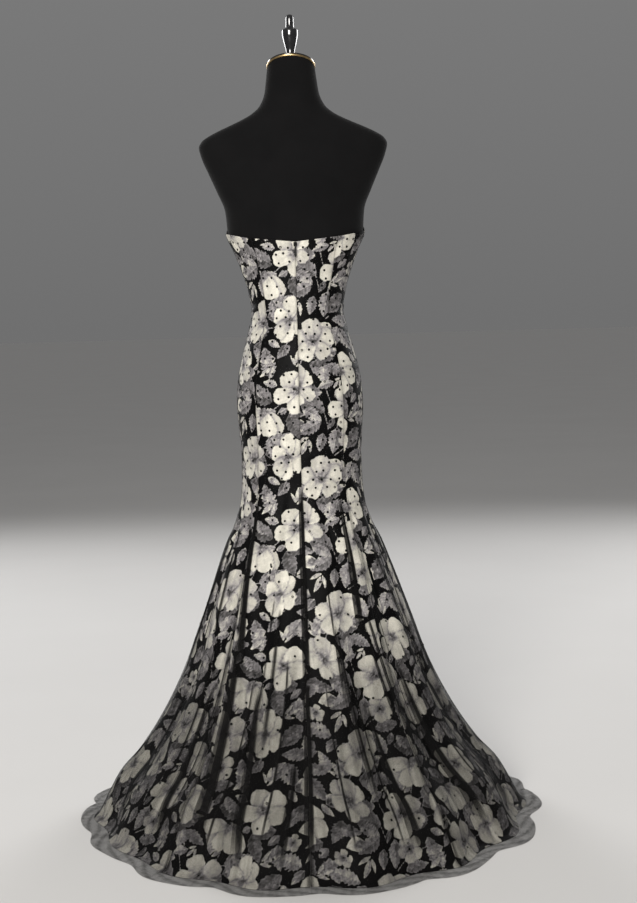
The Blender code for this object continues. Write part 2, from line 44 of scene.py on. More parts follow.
# Turns are degrees round the body: 0 centre back, 90 the wearer's left, 180 centre front.
gownBody = {
    "satinWall": 0.0015,
    "netWall": 0.0010,
    "layerGap": 0.0003,
    "seamGap": 0.0003,
    "neckRow": 1.255,  # below it the rows are level, above it they follow the top edge
    # height, half width, front, back (mm), princess seam (degrees), fullness, flutes
    "sections": (
        (1370, 156, 108, 101, 39, 0.08, 0), (1300, 152.3, 118, 102, 39, 0.08, 0),
        (1260, 135.8, 114, 98, 40, 0.08, 0), (1216, 119.3, 102, 91.5, 42, 0.08, 0),
        (1172, 106.1, 93.5, 87, 43, 0.07, 0), (1127, 100.2, 91, 87, 43, 0.06, 0),
        (1083, 108.6, 95, 94, 43, 0.06, 0), (1039, 121.1, 101, 104, 43, 0.07, 0),
        (972, 135.3, 106, 116, 43, 0.08, 0), (915, 138.8, 107, 121, 43.5, 0.08, 0),
        (859, 135.1, 105, 119, 44, 0.08, 0), (803, 132, 103, 114, 45, 0.07, 0),
        (747, 133.3, 103, 112, 46, 0.06, 0), (700, 137.6, 106, 115, 46, 0.04, 0.02),
        (656, 150, 114, 126, 45, 0.02, 0.06), (587, 175.8, 136, 153, 44, 0, 0.16),
        (519, 199, 158, 183, 43, 0, 0.27), (427, 230, 189, 228, 42, 0, 0.42),
        (334, 262, 218, 276, 41, 0, 0.58), (241, 307, 248, 327, 40, 0, 0.73),
        (148, 370, 288, 388, 39, 0, 0.86), (101, 414, 311, 422, 38.5, 0, 0.92),
        (54, 442, 332, 456, 38, 0, 0.96), (7, 468, 350, 491, 38, 0, 1), (0, 479, 358, 501, 38, 0, 1),
    ),
    # turn, height of the top edge
    "topEdge": ((0, 1.2740), (40, 1.2850), (72, 1.2965), (90, 1.3010), (112, 1.3220), (145, 1.3450),
                (168, 1.3260), (180, 1.3050)),
    # turn of the crest, half of its spread, rise at the hem
    "flutes": ((-14, 13, 0.025), (12, 12, 0.020), (36, 13, 0.017), (61, 12, 0.013), (84, 12, 0.024),
               (108, 13, 0.021), (133, 13, 0.023), (157, 12, 0.019), (181, 13, 0.022), (-155, 12, 0.020),
               (-132, 13, 0.024), (-109, 12, 0.020), (-87, 12, 0.022), (-63, 13, 0.025), (-38, 12, 0.024)),
    "fluteMean": 0.011,
    # turn and its spread, height and its spread, rise of the cups
    "cup": (147.0, 21.0, 1.285, 0.052, 0.0085),
}

goreList = (
    # name, first seam, last seam, where the print and the rows of dots start on the cut (m),
    # widest cut, longest cut and flat area (m, m, m2) in satin, and in net
    ("back_centre_left", 0, 1, (0.115, 0.060), (0.325, 1.388, 0.218), (0.330, 1.422, 0.235)),
    ("back_side_left", 1, 2, (0.300, 0.215), (0.457, 1.399, 0.256), (0.462, 1.433, 0.277)),
    ("front_side_left", 2, 3, (0.050, 0.130), (0.367, 1.415, 0.225), (0.373, 1.449, 0.243)),
    ("front_centre", 3, 5, (0.210, 0.020), (0.630, 1.360, 0.410), (0.638, 1.394, 0.443)),
    ("front_side_right", 5, 6, (0.160, 0.260), (0.370, 1.416, 0.227), (0.375, 1.450, 0.245)),
    ("back_side_right", 6, 7, (0.020, 0.095), (0.465, 1.405, 0.262), (0.470, 1.439, 0.280)),
    ("back_centre_right", 7, 8, (0.255, 0.175), (0.331, 1.393, 0.221), (0.336, 1.427, 0.238)),
)


def smoothCurve(places, values):
    # Smooth line through a table, with no overshoot.
    order = np.argsort(places)
    places = np.array(places, float)[order]
    values = np.array(values, float)[order]
    slopes = np.diff(values) / np.diff(places)
    before, after = slopes[:-1], slopes[1:]
    sameWay = before * after > 0
    middle = np.where(sameWay, 2 * before * after / np.where(sameWay, before + after, 1), 0)
    tangents = np.concatenate([slopes[:1], middle, slopes[-1:]])

    def at(place):
        place = np.clip(np.asarray(place, float), places[0], places[-1])
        index = np.clip(np.searchsorted(places, place) - 1, 0, len(places) - 2)
        step = places[index + 1] - places[index]
        part = (place - places[index]) / step
        rise = part * part * (3 - 2 * part)
        lead = part * (1 - part) ** 2 * step * tangents[index]
        trail = part * part * (part - 1) * step * tangents[index + 1]
        return values[index] + (values[index + 1] - values[index]) * rise + lead + trail

    return at


def tableCurves(rows, shares):
    # A curve for each column after the first. Shares bring the numbers to the units used here.
    first, *others = (np.array(column) / share for column, share in zip(zip(*rows), shares))
    return [smoothCurve(first, column) for column in others]


def bell(away):
    return np.exp(-np.minimum(away ** 2, 30))


def turned(x, y, angle):
    # The ways along and across a thing that lies at an angle.
    return x * math.cos(angle) + y * math.sin(angle), y * math.cos(angle) - x * math.sin(angle)


halfWidthAt, frontAt, backAt, princessAt, fullAt, foldAt = tableCurves(
    gownBody["sections"], (1000, 1000, 1000, 1000, 1, 1, 1))
topEdgeAt = smoothCurve(*zip(*gownBody["topEdge"]))


def nearestTurn(turn):
    return (np.asarray(turn, float) + 180) % 360 - 180


def neckHeight(turn):
    return topEdgeAt(np.abs(nearestTurn(turn)))


def seamTurn(seam, height):
    # Seams are numbered round the body from the centre back. The odd ones are princess seams.
    if seam % 2 == 0:
        return np.full(np.shape(height), 45.0 * seam)
    princess = princessAt(np.minimum(height, gownBody["neckRow"]))
    return (princess, 180 - princess, 180 + princess, 360 - princess)[seam // 2]


# Small drags and dents in the cloth, worn by both layers.
clothCreases = {
    # turn, height (m), lean from level, half length, half width and depth (mm)
    "rows": (
        (-10, 1.118, 8, 40, 7, 1.1), (9, 1.133, -6, 34, 6, 1), (14, 1.092, 10, 45, 8, 1.2),
        (-16, 1.075, -12, 38, 7, 0.9), (46, 1.128, 5, 36, 6.5, 1.3), (-48, 1.116, -7, 40, 7, 1.2),
        (82, 1.14, 10, 42, 8, 1.5), (98, 1.108, -8, 36, 7, 1.2), (-84, 1.122, -9, 44, 8, 1.4),
        (-100, 1.15, 12, 34, 7, 1.1), (150, 1.12, 6, 50, 8, 1.2), (-152, 1.106, -9, 46, 8, 1.2),
        (176, 1.142, 4, 40, 7, 0.9), (0, 0.985, 4, 30, 7, 0.9), (8, 0.842, -14, 50, 9, 1.4),
        (-12, 0.826, 16, 48, 9, 1.3), (38, 0.818, 22, 44, 8, 1.2), (-40, 0.806, -24, 42, 8, 1.2),
        (86, 0.835, 14, 50, 9, 1.3), (-90, 0.812, -10, 52, 9, 1.3), (140, 0.846, -12, 54, 9, 1.3),
        (-144, 0.83, 14, 50, 9, 1.2), (180, 0.816, 5, 45, 8, 1), (24, 0.742, 62, 52, 8, 1.5),
        (-26, 0.735, -58, 50, 8, 1.5), (60, 0.728, 48, 48, 8.5, 1.4), (-66, 0.738, -50, 50, 8.5, 1.4),
        (112, 0.73, 55, 50, 8.5, 1.3), (-118, 0.724, -52, 48, 8.5, 1.3), (158, 0.736, 60, 50, 8.5, 1.2),
        (-160, 0.742, -58, 52, 8.5, 1.2), (22, 0.61, 84, 120, 12, 4), (-24, 0.59, -82, 130, 13, 4.2),
        (48, 0.56, 86, 110, 11, 3.6), (-52, 0.545, -86, 120, 12, 3.8), (74, 0.6, 88, 110, 12, 3.6),
        (-76, 0.615, -84, 100, 11, 3.6), (98, 0.54, 86, 120, 13, 3.6), (-96, 0.52, -88, 130, 12, 3.8),
        (122, 0.6, 84, 110, 12, 3.4), (-122, 0.57, -86, 120, 12, 3.6), (146, 0.56, 88, 120, 13, 3.6),
        (-146, 0.61, -84, 110, 12, 3.4), (170, 0.59, 86, 120, 12, 3.6), (-170, 0.55, -88, 110, 12, 3.4),
        (4, 0.3, 86, 140, 20, 4.5), (26, 0.22, 84, 120, 18, 4), (-27, 0.26, -86, 150, 20, 4.5),
        (-50, 0.19, -84, 120, 18, 4), (50, 0.33, 86, 130, 18, 4), (73, 0.24, 84, 140, 20, 4.2),
        (-76, 0.3, -86, 150, 20, 4.5), (96, 0.18, 86, 120, 18, 4), (-98, 0.23, -84, 140, 18, 4.2),
        (121, 0.29, 84, 140, 20, 4), (-120, 0.2, -86, 120, 18, 4), (145, 0.22, 86, 130, 18, 4),
        (-143, 0.31, -84, 140, 20, 4.2), (169, 0.27, 84, 140, 20, 4), (-168, 0.19, -86, 130, 18, 3.8),
    ),
    "lips": ((1.7, 0.45), (-1.9, 0.27)),  # ridges beside a trough: place in half widths, share of the depth
    "far": 2.6,  # half lengths past which a trough is not felt
}


def creaseRise(turn, height):
    rise = np.zeros(np.broadcast(turn, height).shape)
    for spot, level, lean, *sizes in clothCreases["rows"]:
        length, width, depth = (size / 1000 for size in sizes)
        if not np.any(np.abs(height - level) < clothCreases["far"] * length):
            continue
        radius = (float(halfWidthAt(level)) + float(backAt(level))) / 2
        around = np.radians(nearestTurn(turn - spot)) * radius
        along, side = turned(around, level - height, math.radians(lean))
        lips = sum(share * bell(side / width - place) for place, share in clothCreases["lips"])
        rise += depth * bell(along / length) * (lips - bell(side / width))
    return rise


def bodyPoint(turn, height):
    # The satin's inner face.
    turn, height = np.broadcast_arrays(np.asarray(turn, float), np.asarray(height, float))
    angle = np.radians(turn)
    sine, cosine = np.sin(angle), np.cos(angle)
    halfWidth = halfWidthAt(height)
    reach = np.where(cosine >= 0, backAt(height), frontAt(height))
    fold = foldAt(height)
    flute = np.full(turn.shape, -gownBody["fluteMean"])
    for crest, spread, top in gownBody["flutes"]:
        away = np.abs(nearestTurn(turn - crest)) / spread
        flute += top * np.where(away < 1, np.cos(away * math.pi / 2) ** 2, 0)
    cupTurn, cupSpread, cupHeight, cupTall, cupTop = gownBody["cup"]
    cup = cupTop * bell((np.abs(nearestTurn(turn)) - cupTurn) / cupSpread)
    cup = cup * bell((height - cupHeight) / cupTall)
    rise = fold * flute + cup + creaseRise(turn, height)
    wayX, wayY = sine / halfWidth, cosine / reach
    length = np.hypot(wayX, wayY)
    x = halfWidth * sine + rise * wayX / length
    y = reach * cosine * (1 + fullAt(height) * sine ** 2) + rise * wayY / length
    return np.stack([x, y, height], -1)


def bodyNormal(turn, height, turnStep=0.25, heightStep=0.002):
    around = bodyPoint(turn + turnStep, height) - bodyPoint(turn - turnStep, height)
    low = np.maximum(np.asarray(height, float) - heightStep, 0)
    down = bodyPoint(turn, low) - bodyPoint(turn, low + 2 * heightStep)
    normal = np.cross(around, down)
    return normal / np.linalg.norm(normal, axis=-1, keepdims=True)


def layerPoint(turn, height, offset):
    offset = np.asarray(offset, float)
    return bodyPoint(turn, height) + bodyNormal(turn, height) * offset[..., None]


# A gore as it is cut

cutGrid = {
    "samples": 160,  # to each gore, for measuring round it
    "topRows": 24,  # rows measured above the neck row
    "bodyRows": (560, 0.020),  # rows below it, and the height of the last
    "hemRows": (10, 0.018),  # rows at the hem, and the height of the first
    "seamRoll": (0.0011, 0.0026),  # extra columns beside a seam
    "knee": 0.66,  # steps between points differ above and below this height
}


def measureGore(first, last):
    # Flat measures of a gore: turn and height against the way across (u) and down (v).
    topRows, neckRow = cutGrid["topRows"], gownBody["neckRow"]
    (bodyRows, bodyEnd), (hemRows, hemStart) = cutGrid["bodyRows"], cutGrid["hemRows"]
    levels = [np.full(topRows, neckRow), np.linspace(neckRow, bodyEnd, bodyRows)]
    levels.append(np.linspace(hemStart, 0, hemRows))
    part = np.linspace(0, 1, cutGrid["samples"] * (2 if last - first > 1 else 1) + 1)
    rowsTurn, rowsHeight = [], []
    for number, level in enumerate(np.concatenate(levels)):
        left, right = float(seamTurn(first, level)), float(seamTurn(last, level))
        degree = np.linalg.norm(bodyPoint(left + 0.5, level) - bodyPoint(left - 0.5, level))
        inset = gownBody["seamGap"] / 2 / degree
        turn = left + inset + (right - left - 2 * inset) * part
        rowsTurn.append(turn)
        rowsHeight.append(level + (neckHeight(turn) - level) * max(0, 1 - number / topRows))
    turn, height = np.array(rowsTurn), np.array(rowsHeight)
    points = bodyPoint(turn, height)
    steps = np.linalg.norm(np.diff(points, axis=1), axis=-1)
    across = np.concatenate([np.zeros((len(turn), 1)), np.cumsum(steps, 1)], 1)
    middle = points[:, len(part) // 2]
    down = np.concatenate([[0], np.cumsum(np.linalg.norm(np.diff(middle, axis=0), axis=-1))])
    return {"turn": turn, "height": height, "across": across, "down": down - down[topRows],
            "width": across[:, -1], "level": height[:, len(part) // 2]}


def stepAt(steps, height):
    return np.where(np.asarray(height) > cutGrid["knee"], *steps)


def pickRows(cut, rowSteps, columnSteps, seamRoll=None):
    # Rows and columns of points over a gore. Steps are for above and below the knee.
    down, width, levels = cut["down"], cut["width"], cut["level"]
    count = np.concatenate([[0], np.cumsum(np.diff(down) / stepAt(rowSteps, levels[1:]))])
    picked = np.interp(np.linspace(0, count[-1], int(math.ceil(count[-1])) + 1), count, down)
    found = {"turn": [], "height": [], "u": [], "v": [], "side": [], "place": []}
    rows, start = [], 0
    for v in picked:
        index = min(max(int(np.searchsorted(down, v)) - 1, 0), len(down) - 2)
        part = (v - down[index]) / (down[index + 1] - down[index])
        wide, level = (values[index] + (values[index + 1] - values[index]) * part
                       for values in (width, levels))
        columns = max(4, 4 * int(round(wide / stepAt(columnSteps, level) / 4)))
        if seamRoll:
            near, far = seamRoll
            inner = np.linspace(far, wide - far, columns - 3)
            place = np.concatenate([[0, near], inner, [wide - near, wide]])
        else:
            place = np.linspace(0, wide, columns + 1)
        for name in ("turn", "height"):
            upper, lower = (np.interp(place / wide, cut["across"][row] / width[row], cut[name][row])
                            for row in (index, index + 1))
            found[name].append(upper + (lower - upper) * part)
        found["u"].append(place - wide / 2)
        found["v"].append(np.where(v < 0, (gownBody["neckRow"] - found["height"][-1]) * 1.02, v))
        found["side"].append(np.minimum(place, wide - place))
        found["place"].append(place / wide)
        rows.append(np.arange(start, start + len(place)))
        start += len(place)
    return {**{name: np.concatenate(lists) for name, lists in found.items()}, "rows": rows}


def strip(upper, lower, upperPlace, lowerPlace):
    # Faces between two lines of points: squares where they match, triangles where they don't.
    upper, lower = upper.tolist(), lower.tolist()
    if len(upper) == len(lower):
        return [(a, b, c, d) for a, b, c, d in zip(upper[:-1], upper[1:], lower[1:], lower[:-1])]
    faces = []
    i = j = 0
    while i < len(upper) - 1 or j < len(lower) - 1:
        if j == len(lower) - 1 or (i < len(upper) - 1 and upperPlace[i + 1] <= lowerPlace[j + 1]):
            faces.append((upper[i], upper[i + 1], lower[j]))
            i += 1
        else:
            faces.append((upper[i], lower[j + 1], lower[j]))
            j += 1
    return faces


def sheetFaces(grid, first=0):
    faces = []
    for upper, lower in zip(grid["rows"][:-1], grid["rows"][1:]):
        faces += strip(upper + first, lower + first, grid["place"][upper], grid["place"][lower])
    return faces


def ringFaces(first, count, rings):
    # Faces between rings of points that follow each other.
    faces = []
    for line in range(first, first + count * (rings - 1), count):
        for k in range(count):
            after = (k + 1) % count
            faces.append((line + k, line + count + k, line + count + after, line + after))
    return faces


def addObject(name, data):
    added = bpy.data.objects.new(name, data)
    bpy.context.collection.objects.link(added)
    return added


def clothPiece(name, points, faces, uv, attributes, closed):
    mesh = bpy.data.meshes.new(name)
    mesh.from_pydata(points.tolist(), [], faces)
    corners = np.zeros(len(mesh.loops), int)
    if closed:
        work = bmesh.new()
        work.from_mesh(mesh)
        bmesh.ops.recalc_face_normals(work, faces=work.faces)
        work.to_mesh(mesh)
        work.free()
    mesh.loops.foreach_get("vertex_index", corners)
    layer = mesh.uv_layers.new(name="cut")
    layer.data.foreach_set("uv", uv[corners].astype(np.float32).ravel())
    for key, values in attributes.items():
        attribute = mesh.attributes.new(key, "FLOAT", "POINT")
        attribute.data.foreach_set("value", values.astype(np.float32))
    mesh.shade_smooth()
    if closed:
        mesh.set_sharp_from_angle(angle=math.radians(55))
    return addObject(name, mesh)


# The print: a half-drop repeat of blossoms and toothed leaves, given in a chart

clothPrint = {
    "repeat": (0.34, 0.30),
    "drop": 0.15,
    "shade": (0.0022, 0.45),  # width and depth of the shade under an upper motif
    "ground": -0.02,  # cover where no motif is near
    # kind, across and down (cm), size (cm), turn (degrees), seed
    "chart": (
        ("stem", 7, 6.5, 12.5, 38, 1), ("stem", 26.5, 7, 12.5, 66, 2), ("stem", 19.5, 22, 13, -172, 3),
        ("stem", 15, 12, 12.5, 62, 4), ("stem", 30, 16, 12, 118, 5), ("stem", 9.5, 21, 12.5, -108, 6),
        ("stem", 23, 2.5, 8.5, 205, 7), ("stem", 25, 13.5, 7.5, 100, 8), ("stem", 12.8, 17.6, 5, 20, 9),
        ("stem", 22.4, 28.6, 6, 250, 10), ("dim", 21.2, 9.6, 6.2, 12, 103),
        ("dim", 1.6, 19.4, 6.4, 40, 107), ("dim", 25.2, 22.6, 6.4, -24, 109),
        ("dim", 8.6, 11.4, 6, 112, 114), ("dim", 16.6, 25.4, 5.2, -110, 115),
        ("dim", 31.2, 8.6, 5.4, 210, 116), ("dim", 3.8, 10.4, 5, 20, 117),
        ("dim", 12.4, 8.8, 5.6, -20, 118), ("dim", 27.8, 12.4, 5.6, 165, 119),
        ("dim", 14.6, 20.4, 5.4, 200, 120), ("leaf", 19.4, 8.8, 5.6, -70, 11),
        ("pair", 13.4, 16.6, 5.2, 132, 12), ("pair", 24.6, 12.6, 5.2, 122, 13),
        ("pair", 33.6, 10.8, 5.4, -38, 14), ("leaf", 12.6, 3.6, 5.8, -66, 15),
        ("leaf", 26, 24.8, 5.8, 28, 16), ("leaf", 3.2, 13.4, 5.4, 104, 17),
        ("pair", 4.4, 26.6, 5.6, 92, 18), ("leaf", 22.2, 26.4, 5.8, 78, 19),
        ("leaf", 31.8, 3.2, 5.8, -24, 21), ("leaf", 20.8, 3.2, 5.4, 190, 22),
        ("leaf", 25.6, 18.6, 5.6, -8, 24), ("leaf", 14.8, 27, 5.8, 100, 25),
        ("leaf", 33, 20.8, 5.6, 58, 26), ("leaf", 0.6, 7, 5.2, 164, 27), ("leaf", 11.6, 10.8, 4.6, 30, 28),
        ("leaf", 30, 22.2, 4.8, 150, 29), ("leaf", 5.4, 16.4, 4.6, -150, 30),
        ("leaf", 23.2, 8, 4.4, 245, 36), ("spray", 17.6, 17.4, 3.8, -100, 41),
        ("spray", 28.8, 28.2, 4, 62, 42), ("spray", 12.2, 0.8, 3.6, 40, 43),
        ("spray", 24.2, 10, 3.4, 190, 44), ("spray", 6.2, 17, 3.4, -160, 45),
        ("bud", 21.6, 6, 4.2, -38, 51), ("bud", 29.4, 25.2, 4, 14, 52), ("bud", 8.8, 15.6, 3.8, 62, 53),
        ("bud", 1.6, 2.4, 4, 200, 54), ("leaf", 22.8, 16.4, 3.9, 20, 31), ("leaf", 16.6, 5, 3.8, 120, 32),
        ("leaf", 29.8, 11.4, 3.9, -60, 33), ("leaf", 5, 22.8, 3.9, 200, 34),
        ("leaf", 12, 29.4, 3.8, 10, 35), ("leaf", 9, 26.6, 3.9, 48, 37), ("leaf", 13.9, 25.5, 3.2, 152, 38),
        ("leaf", 25.6, 27.4, 4.2, 78, 39), ("leaf", 31, 3.9, 3.6, 50, 55), ("leaf", 2.7, 2.5, 3.4, 130, 56),
        ("leaf", 11.3, 5.3, 3.4, -12, 57), ("leaf", 9.2, 10.3, 2.4, 30, 58), ("leaf", 2.9, 11.6, 3, 40, 59),
        ("dim", 17.5, 4.3, 2.8, 68, 60), ("spray", 21, 15.6, 2.4, 50, 48), ("dim", 23, 24.3, 2.4, 65, 64),
        ("stem", 8, 24.6, 5, 60, 65), ("small", 34.2, 28.3, 1.9, 40, 62), ("small", 19, 29, 3, 10, 61),
        ("spray", 7.4, 1.4, 3.2, -96, 46), ("spray", 31.4, 12.2, 3.2, -70, 47),
        ("side", 15.2, 12.6, 5, 66, 71), ("blossom", 7.2, 6.6, 5.1, 15, 72),
        ("tilted", 30.8, 16.6, 5.2, -66, 73), ("blossom", 26.4, 7.4, 5, 50, 74),
        ("tilted", 9.4, 21, 5.3, 75, 75), ("blossom", 19.4, 21.8, 5.2, 5, 76),
    ),
}


def speckle(x, y):
    value = np.sin(np.floor(x) * 127.1 + np.floor(y) * 311.7) * 43758.5453
    return value - np.floor(value)


def cloud(x, y):
    # Soft patches, 0 to 1, about one to a unit.
    partX, partY = x - np.floor(x), y - np.floor(y)
    partX, partY = partX * partX * (3 - 2 * partX), partY * partY * (3 - 2 * partY)
    upper = speckle(x, y) * (1 - partX) + speckle(x + 1, y) * partX
    lower = speckle(x, y + 1) * (1 - partX) + speckle(x + 1, y + 1) * partX
    return upper * (1 - partY) + lower * partY


petalLook = {
    "sway": 14,  # degrees that a petal's turn may range over
    # length, width and paleness: least share, and how much more it may be
    "vary": ((0.92, 0.20), (0.90, 0.24), (0.80, 0.24)),
    "skew": 0.12,
    "flare": 0.26,  # how much a petal widens to its tip
    "power": 2.15,  # 2 makes it an oval, more makes it squarer
    "ruffles": ((0.045, 4, 9), (0.022, 9, 20)),  # height, waves round the petal, shift with its lean
    # what makes a petal darker or paler: how much, and sizes as shares of the flower
    "cast": (0.55, 0.05),
    "heart": (0.46, 0.38),
    "rim": (0.13, 0.016),
    "curl": (0.18, 2.4),
    "creases": ((0.22, 0, 0.5, 0.07, 0.85), (0.15, 0.45, 1, 0.08, 0.8)),  # place, shift, half width, end
    "veins": (0.06, 24, 5, 0.8),  # number, shift, end
    "stains": (0.20, 4.5, 1.6, 0.45),  # number across and along, share left clean
    "stamens": (0.62, 0.12, 21, 0.45),  # on a stamen, between them, number, share between them
    "wash": (0.06, 4),
}


def drawPetals(x, y, seed, turns, spread, longWide, heart):
    # Broad petals that lie on each other in turn, about a flower's heart. Sizes are shares of the flower.
    draw = np.random.default_rng(seed)
    look = petalLook
    (castDark, castWide), (heartDark, heartWide), (rimDark, rimWide), (curlDark, curl) = (
        look[key] for key in ("cast", "heart", "rim", "curl"))
    veinPale, veins, veinShift, veinEnd = look["veins"]
    stain, stainWide, stainLong, stainFree = look["stains"]
    stamenDark, heartTint, grains, sparse = look["stamens"]
    washDark, washes = look["wash"]
    radius = np.hypot(x, y)
    depth = np.full(x.shape, -3.0)
    tone = np.full(x.shape, 0.5)
    mottle = cloud(x * 9 + seed, y * 9)
    for number in draw.permutation(len(turns)):
        turn = math.radians(turns[number] + look["sway"] * (draw.random() - 0.5))
        halfLong, halfWide, light = (size * (least + more * draw.random())
                                     for size, (least, more) in zip((*longWide, 1), look["vary"]))
        lean = draw.random() - 0.5
        along, across = turned(x, y, turn)
        across = across + look["skew"] * lean * along
        out = (along - spread) / halfLong
        wide = across / (halfWide * (1 + look["flare"] * np.clip(out, -1, 1)))
        bearing = np.arctan2(wide, out)
        ruffle = sum(tall * np.sin(bearing * waves + shift * lean) for tall, waves, shift in look["ruffles"])
        reach = (np.abs(out) ** look["power"] + np.abs(wide) ** look["power"]) ** (1 / look["power"])
        inside = (1 + ruffle - reach) * min(halfLong, halfWide)
        cast = np.where((inside < 0) & (depth > 0), np.exp(np.minimum(inside, 0) / castWide), 0)
        tone = tone * (1 - castDark * cast)
        own = light - heartDark * bell(radius / heartWide) * (0.10 + 1.4 * mottle ** 1.5)
        for dark, place, shift, width, end in look["creases"]:
            own = own - dark * bell((wide + place - shift * lean) / width) * np.clip(end - radius, 0, 1)
        own = own + veinPale * np.cos(wide * veins + veinShift * lean) * np.clip(veinEnd - radius, 0, 1)
        patch = cloud(wide * stainWide + 7 * lean, out * stainLong + seed)
        own = own - stain * np.clip(patch - stainFree, 0, 1)
        own = own - curlDark * np.clip(wide * lean * curl, 0, 1) * (0.5 + mottle)
        own = own - rimDark * np.exp(-np.clip(inside, 0, 1) / rimWide)
        top = (inside > 0) | ((depth < 0) & (inside > depth))
        tone = np.where(top, own, tone)
        depth = np.maximum(depth, inside)
    grain = speckle(x * grains, y * grains)
    near = bell((radius / (heart * 1.5)) ** 2)
    tone = tone * (1 - near * np.where(grain > sparse, stamenDark, heartTint))
    return depth, tone - washDark * (cloud(x * washes, y * washes + seed) - 0.5)


def openFlower(turns, spread, longWide, heart, squash=1.0, fade=1.0):
    # A flower that faces the viewer. Squashed, it is seen from one side.
    def draw(x, y, size, seed):
        depth, tone = drawPetals(x / size, y / (size * squash), seed, turns, spread, longWide, heart)
        return depth * size * squash, tone * fade
    return draw


def drawSide(x, y, size, seed):
    # A blossom seen from the side, its petals fanned from the calyx.
    turns = (-66, 64, -31, 33, 0)
    depth, tone = drawPetals(x / size + 0.42, y / size, seed, turns, 0.64, (0.54, 0.33), 0.10)
    calyx = drawLeaf(x + 0.55 * size, y, size * 0.55, seed + 2, 0.30, 2.0, (0.24, 0.10), 0.2)
    return overlay((depth * size, tone), calyx)


leafLook = {
    "bend": 0.50,
    "vary": (0.86, 0.30),  # least share of the width, and how much more it may be
    "outline": (0.80, 0.95),  # powers: less than 1 moves the widest place down, and fills out the tip
    "stagger": 0.35,  # between the teeth of the two sides
    "veins": (7.5, 0.55, 0.13),  # number, slant and half width
    "patches": (170, 70),  # to a metre, small and large
    # what makes a leaf paler or darker: how much, and sizes as shares of the leaf, or in m along the rib
    "lit": 0.07,
    "ridge": 0.15,
    "tip": 0.10,
    "patch": 0.34,
    "rim": (0.16, 0.018),
    "rib": (0.26, 0.0006),
    "ribShade": (0.14, 0.0015, 0.0008),
}


def drawLeaf(x, y, size, seed, width=0.30, teeth=7.0, tones=(0.31, 0.25), tooth=0.38):
    # A toothed leaf from its stalk along x, with a midrib and slanting veins.
    draw = np.random.default_rng(seed)
    look = leafLook
    bend = look["bend"] * (draw.random() - 0.5)
    width = width * (look["vary"][0] + look["vary"][1] * draw.random())
    base = tones[0] + tones[1] * draw.random()
    litSide = 1.0 if draw.random() > 0.5 else -1.0
    small, large = look["patches"]
    patches = cloud(x * small + seed, y * small) + 0.6 * cloud(x * large, y * large + seed) - 0.8
    x = x / size
    y = y / size + bend * x * (1 - x)
    along = np.clip(x, 0, 1)
    saw = (along * teeth + look["stagger"] * np.sign(y)) % 1.0
    lower, fuller = look["outline"]
    half = width * np.sin(math.pi * along ** lower) ** fuller * (1 - tooth * (1 - saw) ** 1.5)
    inside = np.where((x < 0) | (x > 1), -np.hypot(x - along, y), half - np.abs(y))
    veins, slant, veinWide = look["veins"]
    ridge = bell((((along - slant * np.abs(y)) * veins) % 1.0 - 0.5) / veinWide)
    tone = base + look["lit"] * litSide * np.sign(y) + look["ridge"] * ridge
    tone = tone + look["tip"] * (along - 0.4) + look["patch"] * patches
    (rimPale, rimWide), (ribPale, ribWide), (shadeDark, shadeAt, shadeWide) = (
        look[key] for key in ("rim", "rib", "ribShade"))
    tone = tone + rimPale * np.exp(-np.clip(inside, 0, 1) / rimWide)
    tone = tone + ribPale * bell(y * size / ribWide) - shadeDark * bell((y * size - shadeAt) / shadeWide)
    return inside * size, tone


def leafKind(width, teeth, tones, tooth, fade=1.0):
    def draw(x, y, size, seed):
        inside, tone = drawLeaf(x, y, size, seed, width, teeth, tones, tooth)
        return inside, tone * fade
    return draw


def overlay(found, new, reach=0.0014, dark=0.5):
    # The new shape over what is there, with a dark edge between them.
    if found is None:
        return new
    (cover, tone), (inside, own) = found, new
    shade = np.where((inside < 0) & (cover > 0), np.exp(np.minimum(inside, 0) / reach), 0)
    top = (inside > 0) | ((cover < 0) & (inside > cover))
    return np.maximum(cover, inside), np.where(top, own, tone * (1 - dark * shade))


def fanned(turns, sizes, drawOne):
    # Several of one kind from one stalk.
    def draw(x, y, size, seed):
        found = None
        for number, (turn, share) in enumerate(zip(turns, sizes)):
            along, across = turned(x, y, math.radians(turn))
            one = drawOne(along - 0.004 * number, across, size * share, seed + 100 * number)
            found = overlay(found, one)
        return found
    return draw


def drawBud(x, y, size, seed):
    # Closed petals with a pale tip, held by dark sepals.
    petal = drawLeaf(x, y, size, seed, 0.36, 1.0, (0.74, 0.18), 0.0)
    return overlay(petal, drawLeaf(x, y, size * 0.55, seed + 1, 0.42, 3.0, (0.26, 0.12), 0.3))


def drawStem(x, y, size, seed):
    bend = 1.1 * (np.random.default_rng(seed).random() - 0.5)
    along = np.clip(x, 0, size)
    off = y - bend * along * (1 - along / size)
    return np.where(x == along, 0.0010 - np.abs(off), -np.hypot(x - along, y)), np.full(x.shape, 0.58)


evenPetals = (0, 72, 144, 216, 288)
motifDrawings = {
    "blossom": openFlower(evenPetals, 0.52, (0.47, 0.385), 0.15, squash=0.94),
    "tilted": openFlower((10, 78, 140, 205, 270, 330), 0.48, (0.47, 0.34), 0.13, squash=0.74),
    "side": drawSide,
    "small": openFlower(evenPetals, 0.54, (0.45, 0.36), 0.2, fade=0.9),
    "leaf": drawLeaf,
    "dim": leafKind(0.32, 6.0, (0.22, 0.14), 0.26, fade=0.80),  # further back in the print
    "pair": fanned((-34, 30), (0.88, 1.04), drawLeaf),
    "spray": fanned((-34, 33, 0), (0.78, 0.80, 1.0), leafKind(0.14, 3.0, (0.46, 0.24), 0.14)),
    "bud": drawBud,
    "stem": drawStem,
}


